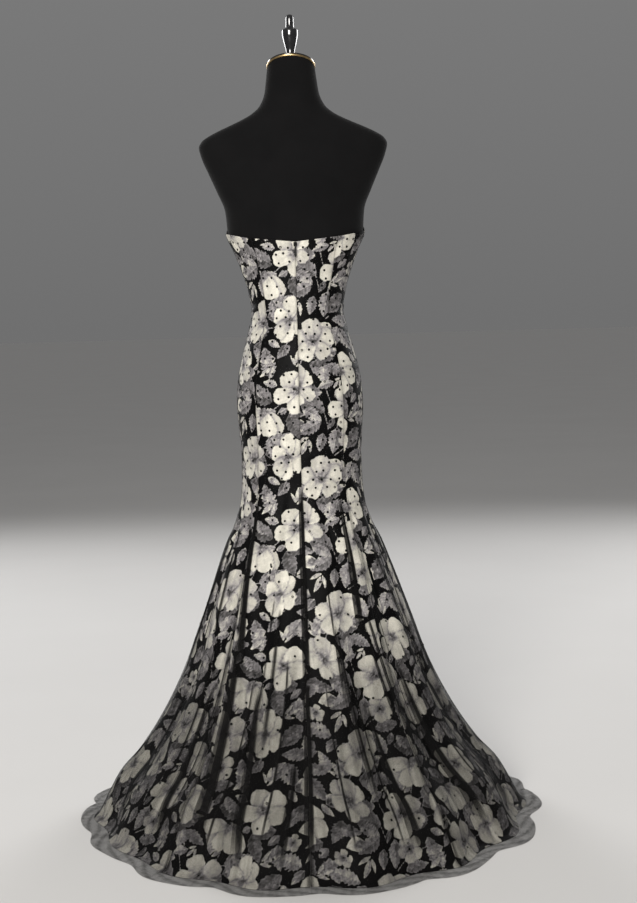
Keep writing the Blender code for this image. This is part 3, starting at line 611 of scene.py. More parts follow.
def printAt(u, v):
    # How far inside a motif each point lies (m, below 0 on the ground), and how pale it is.
    wide, tall = clothPrint["repeat"]
    cover = np.full(u.shape, clothPrint["ground"])
    tone = np.zeros(u.shape)
    for kind, left, down, size, turn, seed in clothPrint["chart"]:
        left, down, size = left / 100, down / 100, size / 100
        reach = size * 1.2
        for column in range(math.floor((u.min() - left - reach) / wide),
                            math.ceil((u.max() - left + reach) / wide) + 1):
            start = down + clothPrint["drop"] * (column % 2)
            for row in range(math.floor((v.min() - start - reach) / tall),
                             math.ceil((v.max() - start + reach) / tall) + 1):
                du, dv = u - left - column * wide, v - start - row * tall
                near = np.nonzero(du * du + dv * dv < reach * reach)[0]
                if near.size:
                    x, y = turned(du[near], dv[near], math.radians(turn))
                    motif = motifDrawings[kind](x, y, size, seed)
                    cover[near], tone[near] = overlay((cover[near], tone[near]), motif, *clothPrint["shade"])
    return cover, np.clip(tone, 0.05, 1)


# Materials

def newMaterial(name, colour, roughness, metallic=0.0, **sockets):
    material = bpy.data.materials.new(name)
    material.use_nodes = True
    shader = material.node_tree.nodes["Principled BSDF"]
    shader.inputs["Base Color"].default_value = (*colour, 1)
    shader.inputs["Roughness"].default_value = roughness
    shader.inputs["Metallic"].default_value = metallic
    for key, value in sockets.items():
        shader.inputs[key.replace("_", " ")].default_value = value
    return material, material.node_tree, shader


def addNode(tree, kind, inputs=(), **settings):
    # inputs: socket name or number, and a value or another node's output
    node = tree.nodes.new("ShaderNode" + kind)
    for key, value in settings.items():
        setattr(node, key, value)
    for key, value in dict(inputs).items():
        if isinstance(value, bpy.types.NodeSocket):
            tree.links.new(value, node.inputs[key])
        else:
            node.inputs[key].default_value = value
    return node


def combine(tree, operation, first, second=0.5):
    return addNode(tree, "Math", {0: first, 1: second}, operation=operation).outputs[0]


def mixColour(tree, factor, first, second, blend="MIX"):
    node = addNode(tree, "Mix", {0: factor, 6: first, 7: second}, data_type="RGBA", blend_type=blend)
    return node.outputs[2]


def mapRange(tree, value, low, high, toLow=0.0, toHigh=1.0, smooth=False):
    node = addNode(tree, "MapRange", {0: value, 1: low, 2: high, 3: toLow, 4: toHigh},
                   interpolation_type="SMOOTHSTEP" if smooth else "LINEAR")
    return node.outputs[0]


def noise(tree, vector, scale, detail=3.0, roughness=0.55):
    node = addNode(tree, "TexNoise", {"Vector": vector, "Scale": scale, "Detail": detail,
                                      "Roughness": roughness})
    return node.outputs[0]


def onObject(tree):
    return addNode(tree, "TexCoord").outputs["Object"]


def onCut(tree):
    return addNode(tree, "UVMap", uv_map="cut").outputs[0]


def fromPoints(tree, name):
    return addNode(tree, "Attribute", attribute_name=name).outputs["Fac"]


def addColour(tree, shader, factor, first, second):
    colour = mixColour(tree, factor, (*first, 1), (*second, 1))
    tree.links.new(colour, shader.inputs["Base Color"])


def addBump(tree, shader, height, strength, distance):
    bump = addNode(tree, "Bump", {"Height": height, "Strength": strength, "Distance": distance})
    tree.links.new(bump.outputs[0], shader.inputs["Normal"])


satinFinish = {
    "ground": (0.0022, 0.0021, 0.0023),
    "darkInk": (0.030, 0.029, 0.027),
    "paleInk": (0.885, 0.850, 0.750),
    "leafInk": (0.820, 0.775, 0.800),
    "edge": 0.00030,  # half width of a motif's edge (m)
    "ruffle": 230.0,
    "ragged": 0.0011,
    "mottle": 260.0,
    "mottleDark": 0.34,
    "mottlePale": 0.10,
    "thread": 900.0,
    "slub": 150.0,
}


def makeSatinMaterial():
    material, tree, shader = newMaterial("printedSatin", (0.3, 0.3, 0.3), 0.58, Sheen_Weight=0.004,
                                         Sheen_Roughness=0.4, Specular_IOR_Level=0.07)
    uv = onCut(tree)
    cover = fromPoints(tree, "cover")
    tone = fromPoints(tree, "tone")
    mottle = noise(tree, uv, satinFinish["mottle"], 4.0, 0.65)
    fibre = noise(tree, uv, 38.0, 2.0)
    ruffle = noise(tree, uv, satinFinish["ruffle"], 3.0, 0.7)
    ragged = mapRange(tree, ruffle, 0.25, 0.75, -satinFinish["ragged"], satinFinish["ragged"])
    edge = satinFinish["edge"]
    inside = mapRange(tree, combine(tree, "ADD", cover, ragged), -edge, edge, smooth=True)
    depth = mapRange(tree, tone, 0.35, 0.85, satinFinish["mottleDark"], satinFinish["mottlePale"])
    swing = combine(tree, "MULTIPLY", mapRange(tree, mottle, 0.25, 0.75, -1, 1), depth)
    grain = combine(tree, "ADD", swing, 1.0)
    wash = mapRange(tree, fibre, 0.3, 0.7, 0.90, 1.06)
    pale = combine(tree, "MULTIPLY", combine(tree, "MULTIPLY", tone, grain), wash)
    pale = combine(tree, "POWER", addNode(tree, "Clamp", {0: pale}).outputs[0], 1.35)
    hue = mixColour(tree, mapRange(tree, tone, 0.45, 0.8), (*satinFinish["leafInk"], 1),
                    (*satinFinish["paleInk"], 1))
    ink = mixColour(tree, pale, (*satinFinish["darkInk"], 1), hue)
    colour = mixColour(tree, inside, (*satinFinish["ground"], 1), ink)
    tree.links.new(colour, shader.inputs["Base Color"])
    tree.links.new(mapRange(tree, inside, 0, 1, 0.52, 0.62), shader.inputs["Roughness"])
    stretched = addNode(tree, "Mapping", {"Vector": uv, "Scale": (1.0, 0.16, 1.0)}).outputs[0]
    thread = noise(tree, stretched, satinFinish["thread"], 1.0)
    slub = noise(tree, uv, satinFinish["slub"], 2.0)
    addBump(tree, shader, combine(tree, "ADD", thread, slub), 0.22, 0.0004)
    return material


netFinish = {
    "thread": (0.0048, 0.0046, 0.0046),
    "mesh": 760.0,  # holes to a metre
    "hole": 0.19,
    "strand": 0.56,
    # layers that a fold adds: all over it, in its core and along its edge; they darken it partly as doubled
    # net and partly as painted shade in the fold
    "band": 2.6,
    "core": 6.0,
    "line": 4.0,
    "lineWidth": 0.0012,
    "foldSoft": 0.0005,
}


def makeNetMaterial():
    material, tree, shader = newMaterial("blackNet", netFinish["thread"], 0.80, Sheen_Weight=0.003,
                                         Sheen_Roughness=0.35, Specular_IOR_Level=0.03)
    uv = onCut(tree)
    count = fromPoints(tree, "layers")
    cell = addNode(tree, "TexVoronoi", {"Vector": uv, "Scale": netFinish["mesh"], "Randomness": 0.25},
                   feature="DISTANCE_TO_EDGE", voronoi_dimensions="2D").outputs["Distance"]
    alpha = mapRange(tree, cell, 0.04, 0.16, netFinish["strand"], netFinish["hole"])
    edge = fromPoints(tree, "foldEdge")
    core = fromPoints(tree, "foldCore")
    folded = fromPoints(tree, "foldLayersAndShade")
    soft = netFinish["foldSoft"]
    # a fold darkens the net with extra layers, partly doubled net and partly painted shade in the fold's core
    # and along its edge
    band = mapRange(tree, edge, -soft, soft, netFinish["band"], 0, smooth=True)
    dark = mapRange(tree, core, -soft, soft, netFinish["core"], 0, smooth=True)
    line = mapRange(tree, combine(tree, "ABSOLUTE", edge), 0, netFinish["lineWidth"], netFinish["line"], 0)
    both = combine(tree, "ADD", combine(tree, "ADD", band, dark), line)
    streak = addNode(tree, "Mapping", {"Vector": uv, "Scale": (1.0, 0.05, 1.0)}).outputs[0]
    uneven = mapRange(tree, noise(tree, streak, 70.0, 3.0), 0.3, 0.75, 0.7, 1.4)
    plain = combine(tree, "MULTIPLY", count, uneven)
    layers = combine(tree, "ADD", plain, combine(tree, "MULTIPLY", folded, both))
    clear = combine(tree, "POWER", combine(tree, "SUBTRACT", 1.0, alpha), layers)
    tree.links.new(combine(tree, "SUBTRACT", 1.0, clear), shader.inputs["Alpha"])
    shade = mapRange(tree, noise(tree, uv, 300.0, 2.0), 0.3, 0.7, 0.7, 1.3)
    addColour(tree, shader, shade, (0, 0, 0), netFinish["thread"])
    return material


def makeWornMaterial(name, colour, roughness, colours, wear, bump, roughRange=None, metallic=0.0, **sockets):
    # Wear moves the colour, and the roughness, a little. It is a noise: scale, detail, roughness.
    material, tree, shader = newMaterial(name, colour, roughness, metallic, **sockets)
    marks = noise(tree, onObject(tree), *wear)
    addColour(tree, shader, marks, *colours)
    if roughRange:
        tree.links.new(mapRange(tree, marks, *roughRange), shader.inputs["Roughness"])
    addBump(tree, shader, marks, *bump)
    return material


def makeJerseyMaterial():
    material, tree, shader = newMaterial("formJersey", (0.006, 0.006, 0.0065), 0.92, Sheen_Weight=0.01,
                                         Sheen_Roughness=0.6, Specular_IOR_Level=0.08)
    where = onObject(tree)
    waves = []
    for scale, wobble, way in ((190.0, 1.2, "X"), (170.0, 0.8, "Z")):
        inputs = {"Vector": where, "Scale": scale, "Distortion": wobble, "Detail": 1.0}
        wave = addNode(tree, "TexWave", inputs, wave_type="BANDS", bands_direction=way)
        waves.append(wave.outputs["Fac"])
    addColour(tree, shader, noise(tree, where, 14.0), (0.0025, 0.0025, 0.0028), (0.0055, 0.0053, 0.0056))
    addBump(tree, shader, combine(tree, "MULTIPLY", *waves), 0.35, 0.0006)
    return material


def makeGlossMaterial(name, colour, roughness, wearScale, metallic=0.0):
    # Lacquer, gilt or steel.
    darker = tuple(value * 0.72 for value in colour)
    roughRange = (0.3, 0.75, roughness * 0.7, roughness * 1.5)
    return makeWornMaterial(name, colour, roughness, (darker, colour), (wearScale, 4.0, 0.6), (0.05, 0.0003),
                            roughRange, metallic, Coat_Weight=0.0 if metallic else 0.6, Coat_Roughness=0.08)


materials = {
    "satin": makeSatinMaterial(),
    "net": makeNetMaterial(),
    "dot": makeWornMaterial("flockedDot", (0.005, 0.005, 0.006), 0.9,
                            ((0.002, 0.002, 0.002), (0.007, 0.007, 0.0075)), (2600.0, 2.0), (0.5, 0.0002),
                            Sheen_Weight=0.02, Sheen_Roughness=0.5, Specular_IOR_Level=0.1),
    "jersey": makeJerseyMaterial(),
    "lacquer": makeGlossMaterial("blackLacquer", (0.010, 0.010, 0.011), 0.16, 60.0),
    "gilt": makeGlossMaterial("giltRim", (0.46, 0.33, 0.16), 0.34, 160.0, 1.0),
    "zip": makeWornMaterial("zipEnamel", (0.006, 0.006, 0.0065), 0.6,
                            ((0.003, 0.003, 0.003), (0.010, 0.010, 0.0105)), (900.0, 3.0), (0.1, 0.0002),
                            (0.3, 0.7, 0.5, 0.7), Specular_IOR_Level=0.15),
    "steel": makeGlossMaterial("standSteel", (0.060, 0.060, 0.064), 0.38, 90.0, 1.0),
}
print("materials ready")


def dress(piece, material, body="gown_and_form"):
    piece.data.materials.clear()
    piece.data.materials.append(materials[material])
    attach(piece, body)
    return piece


# Satin layer

satinLayer = {
    "seamRoll": (0.0009, 0.0012),  # how deep and how wide the cloth rolls into a seam
    # steps between points, above and below the knee
    "rowSteps": (0.0020, 0.0029),
    "columnSteps": (0.0021, 0.0028),
    "liningSteps": (0.016, 0.016),
}


def makeSatinGore(name, start, cut):
    outer = pickRows(cut, satinLayer["rowSteps"], satinLayer["columnSteps"], cutGrid["seamRoll"])
    inner = pickRows(cut, satinLayer["liningSteps"], satinLayer["liningSteps"])
    deep, wide = satinLayer["seamRoll"]
    offset = gownBody["satinWall"] - deep * bell(outer["side"] / wide)
    outerPoints = layerPoint(outer["turn"], outer["height"], offset)
    innerPoints = layerPoint(inner["turn"], inner["height"], np.zeros_like(inner["turn"]))
    count = len(outerPoints)
    faces = sheetFaces(outer)
    faces += [tuple(reversed(face)) for face in sheetFaces(inner, count)]
    top, bottom = outer["rows"][0], outer["rows"][-1]
    innerTop, innerBottom = inner["rows"][0], inner["rows"][-1]
    faces += strip(innerTop + count, top, inner["place"][innerTop], outer["place"][top])
    faces += strip(bottom, innerBottom + count, outer["place"][bottom], inner["place"][innerBottom])
    for end in (0, -1):
        near, far = (np.array([row[end] for row in grid["rows"]]) for grid in (outer, inner))
        edge = strip(near, far + count, -outer["height"][near], -inner["height"][far])
        faces += edge if end == 0 else [tuple(reversed(face)) for face in edge]
    cover, tone = printAt(outer["u"] + start[0], outer["v"] + start[1])
    uv = np.stack([np.concatenate([outer[key], inner[key]]) for key in ("u", "v")], 1)
    plain = np.full(len(innerPoints), clothPrint["ground"])
    attributes = {"cover": np.concatenate([cover, plain]), "tone": np.concatenate([tone, plain * 0])}
    points = np.concatenate([outerPoints, innerPoints])
    piece = clothPiece("satin_" + name, points, faces, uv, attributes, True)
    dress(piece, "satin")
    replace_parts(piece, name)
    return piece


# Net layer

netLayer = {
    "lift": (0.0055, 0.30, 0.20),  # how far it stands off, at which height, over what spread
    "hemLift": 0.0006,
    "hemZone": 0.05,
    "rowSteps": (0.011, 0.011),
    "columnSteps": (0.0028, 0.0028),
    # the part that lies on the floor: rows of points, height, waves of the edge (share, turns, start),
    # ripples (height, turns, lean, where they lie flat again) and layers (number, more in a ripple)
    "floorSteps": (0.004, 0.008, 0.012, 0.018, 0.024, 0.030, 0.034),
    "floorHeight": 0.0007,
    "floorWaves": ((0.096, 11, 1), (0.064, 29, 0)),
    "floorRipple": (0.0018, 47, 260, 0.036),
    "floorLayers": (1.6, 0.8),
    # half width of the seam's turnings and the layers they add, high up and low down
    "seamBand": ((0.0013, 1.0), (0.0055, 2.4)),
    "seamSoft": 0.0008,
    "seamRoll": 0.8,  # share of the satin's
    # height, and layers of net there: more towards the hem, partly for the fuller skirt and partly as painted
    # shade where the light falls off towards the hem
    "layersAndShade": ((0, 1.9), (0.10, 2.3), (0.24, 2.3), (0.32, 1.7), (0.40, 0.95), (0.50, 0.65), (0.66, 0.60),
                 (1.40, 0.45)),
    "seamDrop": (0.76, 0.48),  # where the seam's turnings start to widen, and over what height
    "farFromFold": 0.02,
    "foldFade": (0.05, 0.09),  # height over which a fold starts, and ends
    "foldGrowth": (0.45, 0.75),  # share of the width at its start, and what it gains
    "foldSlope": 0.0015,
    "foldCore": (0.35, 0.5),  # place and half width of the dark core, as shares of the width
    # turn and height where a fold starts, middle turn, turn and height where it ends,
    # half width and rise (mm), extra layers, which darken the fold partly as doubled net and partly as
    # painted shade
    "folds": (
        (45.5, 0.72, 39, 33.5, 0.36, 8, 5, 1.6), (36.5, 0.44, 34.8, 31.5, 0.06, 13, 6, 1.3),
        (1.2, 0.74, 0.6, -0.4, 0.34, 7, 3.5, 1.5), (-0.4, 0.42, -0.2, 0.3, 0.03, 9, 4, 1.1),
        (-37, 0.72, -33.5, -31, 0.42, 6.5, 5, 1.5), (-36.5, 0.48, -38, -40.5, 0.22, 3.5, 4, 1.5),
        (-34, 0.46, -35.6, -38, 0.2, 2.8, 3, 1.2), (62, 0.66, 60, 57, 0.4, 4, 4, 0.9),
        (71, 0.64, 70, 68, 0.34, 3.5, 3.5, 0.9), (80, 0.66, 80, 81, 0.3, 4.5, 4, 1),
        (-60, 0.66, -62, -66, 0.36, 4.5, 4, 1), (-74, 0.68, -76, -79, 0.3, 4, 4, 0.9),
        (-90, 0.66, -91, -93, 0.24, 6, 5, 1.2), (91, 0.66, 92, 94, 0.26, 6, 5, 1.2),
        (14, 0.5, 15, 17, 0.22, 3.5, 3.5, 0.8), (-16, 0.46, -18, -21, 0.12, 5, 4, 0.9),
        (22, 0.34, 21, 19, 0.02, 12, 5, 1.1), (-50, 0.36, -52, -55, 0.03, 14, 5.5, 1.2),
        (50, 0.33, 49, 46, 0.02, 12, 5, 1.1), (5, 0.22, 6, 8, 0.02, 8, 4.5, 0.9),
        (-27, 0.3, -28, -30, 0.02, 11.5, 5, 1.1), (-71, 0.32, -73, -77, 0.02, 14, 5.5, 1.2),
        (74, 0.3, 73, 70, 0.02, 13, 5, 1.1), (110, 0.64, 112, 115, 0.22, 5.5, 4.5, 1.1),
        (-112, 0.62, -113, -116, 0.26, 5.5, 4.5, 1), (136, 0.68, 138, 141, 0.3, 6, 5, 1.4),
        (-136, 0.68, -138, -142, 0.28, 6, 5, 1.4), (158, 0.6, 158, 160, 0.2, 4.5, 4, 0.9),
        (-160, 0.62, -160, -162, 0.24, 4.5, 4, 0.9), (179, 0.66, 180, 182, 0.2, 6, 4.5, 1.1),
        (9, 0.4, 10, 13, 0.05, 1.6, 2, 1.3), (18, 0.52, 19.5, 23, 0.16, 1.4, 2, 1.2),
        (26, 0.36, 27, 29, 0.02, 1.8, 2, 1.2), (41, 0.5, 42, 44, 0.08, 1.6, 2, 1.3),
        (55, 0.44, 55, 53, 0.1, 1.8, 2, 1.2), (-9, 0.36, -10, -12, 0.04, 1.5, 2, 1.3),
        (-14, 0.56, -15, -16, 0.3, 1.3, 2, 1.2), (-21, 0.34, -23, -26, 0.03, 1.8, 2, 1.3),
        (-44, 0.5, -46, -48, 0.1, 1.6, 2, 1.2), (-57, 0.42, -59, -62, 0.06, 1.8, 2, 1.2),
        (150, 0.44, 151, 153, 0.08, 1.6, 2, 1.2), (-152, 0.4, -153, -155, 0.06, 1.6, 2, 1.2),
        (126, 0.3, 127, 129, 0.02, 12, 5, 1.1), (-126, 0.32, -127, -130, 0.02, 13, 5, 1.1),
        (168, 0.28, 169, 171, 0.02, 11, 5, 1.1), (-171, 0.3, -172, -174, 0.02, 11.5, 5, 1.1),
        (97, 0.26, 98, 100, 0.02, 12, 5, 1.1), (-98, 0.28, -99, -102, 0.02, 12.5, 5, 1.1),
    ),
}


netLayersAndShade = smoothCurve(*zip(*netLayer["layersAndShade"]))


def netLift(height):
    top, level, spread = netLayer["lift"]
    nearFloor = np.clip(height / netLayer["hemZone"], 0, 1)
    lift = top * bell((height - level) / spread)
    return gownBody["layerGap"] + lift * nearFloor + netLayer["hemLift"] * (1 - nearFloor)


def netFolds(turn, height):
    # How far the folds stand out. For the shader: how far it is to the edge of the nearest fold
    # and to its darker core (m, below 0 inside), and the layers of net in it, which darken it partly as
    # doubled net and partly as painted shade in the fold.
    rise = np.zeros(turn.shape)
    edge = np.full(turn.shape, netLayer["farFromFold"])
    core = edge.copy()
    count = np.zeros(turn.shape)
    radius = (halfWidthAt(height) + backAt(height)) / 2
    (startTall, endTall), (first, gain) = netLayer["foldFade"], netLayer["foldGrowth"]
    coreAt, coreWide = netLayer["foldCore"]
    for startTurn, high, middleTurn, endTurn, low, width, top, extra in netLayer["folds"]:
        part = np.clip((high - height) / (high - low), 0, 1)
        line = startTurn * (1 - part) ** 2 + 2 * middleTurn * part * (1 - part) + endTurn * part ** 2
        side = np.radians(nearestTurn(turn - line)) * radius
        fade = np.clip((high - height) / startTall, 0, 1) * np.clip((height - low) / endTall, 0, 1)
        fade = fade * fade * (3 - 2 * fade)
        grown = width / 1000 * (first + gain * part)
        rise += top / 1000 * fade * bell(side / (grown + netLayer["foldSlope"]))
        away = np.abs(side) - grown
        near = (away < edge) & (fade > 0)
        edge = np.where(near, away, edge)
        core = np.where(near, np.abs(side + grown * coreAt) - grown * coreWide, core)
        count = np.where(near, extra * fade, count)
    return rise, {"foldEdge": edge, "foldCore": core, "foldLayersAndShade": count}


def netOffset(turn, height, side):
    rise, shades = netFolds(turn, height)
    deep, wide = satinLayer["seamRoll"]
    roll = netLayer["seamRoll"] * deep * bell(side / wide)
    offset = gownBody["satinWall"] + netLift(height) + gownBody["netWall"] / 2 + rise - roll
    high, tall = netLayer["seamDrop"]
    (narrow, light), (broad, heavy) = netLayer["seamBand"]
    low = np.clip((high - height) / tall, 0, 1)
    extra = light + (heavy - light) * low
    band = narrow + (broad - narrow) * low
    past = np.clip((side - band) / netLayer["seamSoft"], -30, 30)
    # more net towards the hem darkens the print, partly as painted shade for the light falling off there
    shades["layers"] = netLayersAndShade(height) + extra / (1 + np.exp(past))
    return offset, shades


def makeNetGore(name, cut):
    grid = pickRows(cut, netLayer["rowSteps"], netLayer["columnSteps"], cutGrid["seamRoll"])
    offset, shades = netOffset(grid["turn"], grid["height"], grid["side"])
    points = layerPoint(grid["turn"], grid["height"], offset)
    hem = grid["rows"][-1]
    edge = points[hem]
    away = bodyNormal(grid["turn"][hem], grid["height"][hem])
    away[:, 2] = 0
    away /= np.linalg.norm(away, axis=1, keepdims=True)
    hemTurn = np.radians(grid["turn"][hem])
    reach = 1 + sum(share * np.sin(turns * hemTurn + begin) for share, turns, begin in netLayer["floorWaves"])
    rippleTall, rippleTurns, rippleLean, flatAgain = netLayer["floorRipple"]
    layers, more = netLayer["floorLayers"]
    for step in netLayer["floorSteps"]:
        ripple = np.maximum(0, np.sin(rippleTurns * hemTurn + rippleLean * step)) ** 2
        line = edge + away * (step * reach)[:, None]
        line[:, 2] = netLayer["floorHeight"] + rippleTall * ripple * math.sin(math.pi * step / flatAgain)
        grid["rows"].append(np.arange(len(points), len(points) + len(line)))
        points = np.concatenate([points, line])
        for key in ("turn", "height", "u", "side", "place"):
            grid[key] = np.concatenate([grid[key], grid[key][hem]])
        grid["v"] = np.concatenate([grid["v"], grid["v"][hem] + step])
        for key, value in shades.items():
            shades[key] = np.concatenate([value, value[hem]])
        shades["layers"][-len(hem):] = layers * (1 + more * ripple)
    uv = np.stack([grid["u"], grid["v"]], 1)
    piece = clothPiece("net_" + name, points, sheetFaces(grid), uv, shades, False)
    dress(piece, "net")
    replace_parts(piece, "tulle_" + name)
    return piece


# Flocked dots

netDots = {
    "radius": 0.0027,
    "sizes": (0.92, 0.16),  # least share of the radius, and how much more it may be
    "thick": 0.00035,
    "stuck": 0.0002,  # how far the dots stand off the net
    "sides": 8,
    "jitter": 0.34,
    "upright": 0.7,  # share of the jitter that goes up and down
    "rowDrop": 0.866,
    "first": (0.006, 0.012),  # where the first row lies, and how much lower it may be
    "seamClear": 0.004,
    "hemClear": 0.012,
    "open": 0.09,  # share of dots worn to a ring
    # rings of points of a worn dot and of a whole one: share of the radius, share of the thickness
    "worn": ((0.46, 0.0), (0.72, 1.0), (1.0, 0.0)),
    "whole": ((0.5, 1.0), (1.0, 0.0)),
    # height, and the spacing of the dots there
    "spacing": ((1.40, 0.020), (0.72, 0.0205), (0.66, 0.026), (0.58, 0.036), (0.48, 0.052), (0, 0.068)),
}


def makeDots(name, cut, start, seed):
    draw = np.random.default_rng(seed)
    heights, spacings = zip(*sorted(netDots["spacing"]))
    jitter, clear = netDots["jitter"], netDots["seamClear"]
    low, more = netDots["first"]
    spots = []
    v, odd = cut["down"][0] + low + more * draw.random(), 0
    while v < cut["down"][-1] - 0.01:
        gap = float(np.interp(np.interp(v, cut["down"], cut["level"]), heights, spacings))
        index = int(np.searchsorted(cut["down"], v)) - 1
        wide = cut["width"][index]
        u = -wide / 2 + (start[0] % gap) + gap * (0.5 * odd)
        while u < wide / 2 - clear:
            place = u + wide / 2 + gap * jitter * (draw.random() - 0.5)
            turn, height = (np.interp(place, cut["across"][index], cut[key][index])
                            for key in ("turn", "height"))
            height -= gap * jitter * (draw.random() - 0.5) * netDots["upright"]
            side = min(place, wide - place)
            if side > clear and netDots["hemClear"] < height < neckHeight(turn) - clear:
                spots.append((turn, height, side))
            u += gap
        v += gap * netDots["rowDrop"]
        odd = 1 - odd
    turn, height, side = np.array(spots).T
    centre = layerPoint(turn, height, netOffset(turn, height, side)[0] + netDots["stuck"])
    normal = bodyNormal(turn, height)
    across = np.cross(np.array([0, 0, 1.0]), normal)
    across /= np.linalg.norm(across, axis=1, keepdims=True)
    up = np.cross(normal, across)
    isWorn = draw.random(len(turn)) < netDots["open"]
    count = netDots["sides"]
    angles = np.arange(count) * 2 * math.pi / count
    least, extra = netDots["sizes"]
    points, faces = [], []
    for number in range(len(turn)):
        base = len(points)
        size = netDots["radius"] * (least + extra * draw.random())
        rings = netDots["worn" if isWorn[number] else "whole"]
        for share, lift in rings:
            for angle in angles:
                step = across[number] * math.cos(angle) + up[number] * math.sin(angle)
                out = normal[number] * netDots["thick"] * lift
                points.append(centre[number] + step * size * share + out)
        faces += ringFaces(base, count, len(rings))
        last = len(points) - count
        if isWorn[number]:
            turns = [(k, (k + 1) % count) for k in range(count)]
            faces += [(base + k, base + after, last + after, last + k) for k, after in turns]
        else:
            faces.append(tuple(base + k for k in range(count)))
            faces.append(tuple(last + k for k in reversed(range(count))))
    points = np.array(points)
    piece = clothPiece("dots_" + name, points, faces, points[:, :2], {}, True)
    return dress(piece, "dot")


for number, (name, first, last, start, satinSize, netSize) in enumerate(goreList):
    cut = measureGore(first, last)
    satin = makeSatinGore(name, start, cut)
    net = makeNetGore(name, cut)
    dots = makeDots(name, cut, start, 40 + number)
    measures = (cut["width"].max(), cut["down"][-1] - cut["down"][0], np.trapz(cut["width"], cut["down"]))
    print(name, "widest, longest and area", *(round(float(measure), 3) for measure in measures),
          "faces", *(len(piece.data.polygons) for piece in (satin, net, dots)))
print("gown ready")

# Dress form

formShape = {
    "bottom": 0.800,
    "edge": 0.006,
    "clear": (0.0007, 0.0020, 1.235, 0.080),  # least, extra, height of the grip and its spread
    "columns": 160,
    # lowest and highest ring and how many, in the gown and above it
    "gownRings": (0.808, 1.262, 58),
    "upperRings": ((1.300, 1.480, 22), (1.484, 1.575, 32), (1.582, 1.634, 8)),
    # height, half width, front, back above the bust (mm)
    "upper": (
        (1300, 150, 116, 100), (1348, 154, 105, 101.5), (1391, 170.5, 96, 101), (1435, 189.5, 85, 97),
        (1465, 202, 76, 91), (1489, 207.5, 68, 84), (1502, 201, 63, 79), (1513, 185, 59, 75),
        (1523, 165, 56, 71), (1534, 140, 53, 67), (1546, 113, 51, 64), (1558, 91, 49, 61),
        (1575, 72, 47, 58), (1600, 60.5, 45, 55), (1628, 56, 44, 54), (1656, 52.5, 43.5, 53),
    ),
    "neckTop": 1.656,
    "neckY": 0.005,
    "slant": 20.0,
    "neckDepth": 0.92,
}
upperHalf, upperFront, upperBack = tableCurves(formShape["upper"], (1000, 1000, 1000, 1000))


def fittedRing(height, extra=0.0):
    least, more, grip, spread = formShape["clear"]
    away = min(1.0, abs(height - grip) / spread)
    turn = np.arange(formShape["columns"]) * 360 / formShape["columns"]
    inset = np.full(turn.shape, -(least + more * away ** 2) - extra)
    ring = layerPoint(turn, np.full(turn.shape, height), inset)
    ring[:, 2] = height
    return ring


def upperRing(height):
    angle = np.arange(formShape["columns"]) * 2 * math.pi / formShape["columns"]
    reach = np.where(np.cos(angle) >= 0, upperBack(height), upperFront(height))
    level = np.full(angle.shape, height)
    return np.stack([upperHalf(height) * np.sin(angle), reach * np.cos(angle), level], 1)


def makeForm():
    rings = [fittedRing(formShape["bottom"], formShape["edge"])]
    rings += [fittedRing(height) for height in np.linspace(*formShape["gownRings"])]
    for run in formShape["upperRings"]:
        rings += [upperRing(height) for height in np.linspace(*run)]
    rim = upperRing(formShape["neckTop"])
    rim[:, 2] += (rim[:, 1] - formShape["neckY"]) * math.tan(math.radians(formShape["slant"]))
    rings.append(rim)
    count = formShape["columns"]
    points = np.concatenate(rings)
    faces = [tuple(range(count)), tuple(reversed(range(len(points) - count, len(points))))]
    faces += ringFaces(0, count, len(rings))
    piece = clothPiece("form_body", points, faces, points[:, [0, 2]], {}, True)
    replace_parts(dress(piece, "jersey"), "form_torso")


makeForm()
print("form ready")

# Neck rim, cap and finial

neckTrim = {
    "centre": 0.005,
    "sides": 72,
    "rimBase": 1.6563,
    # profiles: height over the base and radius (mm)
    "rim": ((0, 52.6), (0.5, 53.3), (1.2, 53.5), (2.8, 53.5), (3.5, 53.3), (4, 52.6)),
    "capBase": 1.6606,
    "cap": ((0, 51.2), (0.6, 52), (2.2, 52), (3, 51.6), (3.4, 50.6), (3.5, 48), (3.1, 47.2), (3.1, 45.2),
            (3.5, 44.4), (3.6, 20)),
    "bossBase": 1.6700,
    "boss": ((0, 15), (1, 14.6), (5.6, 14.5), (6, 14)),
    "finialBase": 1.6763,
    "finial": ((0, 12.4), (0.6, 12.9), (3.5, 13.5), (5, 13), (6, 12), (9.5, 9.4), (17, 9.9), (28, 12.4),
               (42, 15.7), (53, 17.4), (59, 17.3), (61.8, 16.3), (63, 14.8), (63.8, 11.8), (65.5, 9.2),
               (75, 8.6), (86, 8.3), (91, 7), (93.5, 5.2), (94.5, 3), (94.8, 1)),
    "finialRows": 54,
}


def applyMoves():
    bpy.ops.object.transform_apply(location=True, rotation=True, scale=True)


def drawOut(spot, rows, deepToo):
    # The new flat shape is drawn out row by row: height over the spot, and size.
    x, y, base = spot
    bpy.ops.object.mode_set(mode="EDIT")
    bpy.ops.mesh.select_all(action="SELECT")
    for (below, before), (level, size) in zip(rows[:-1], rows[1:]):
        share = size / before
        grow = (share, share if deepToo else 1, 1)
        bpy.ops.mesh.extrude_region_move(TRANSFORM_OT_translate={"value": (0, 0, level - below)})
        bpy.ops.transform.resize(value=grow, center_override=(x, y, base + level))
    bpy.ops.mesh.select_all(action="SELECT")
    bpy.ops.mesh.normals_make_consistent(inside=False)
    bpy.ops.object.mode_set(mode="OBJECT")
    applyMoves()
    return bpy.context.active_object


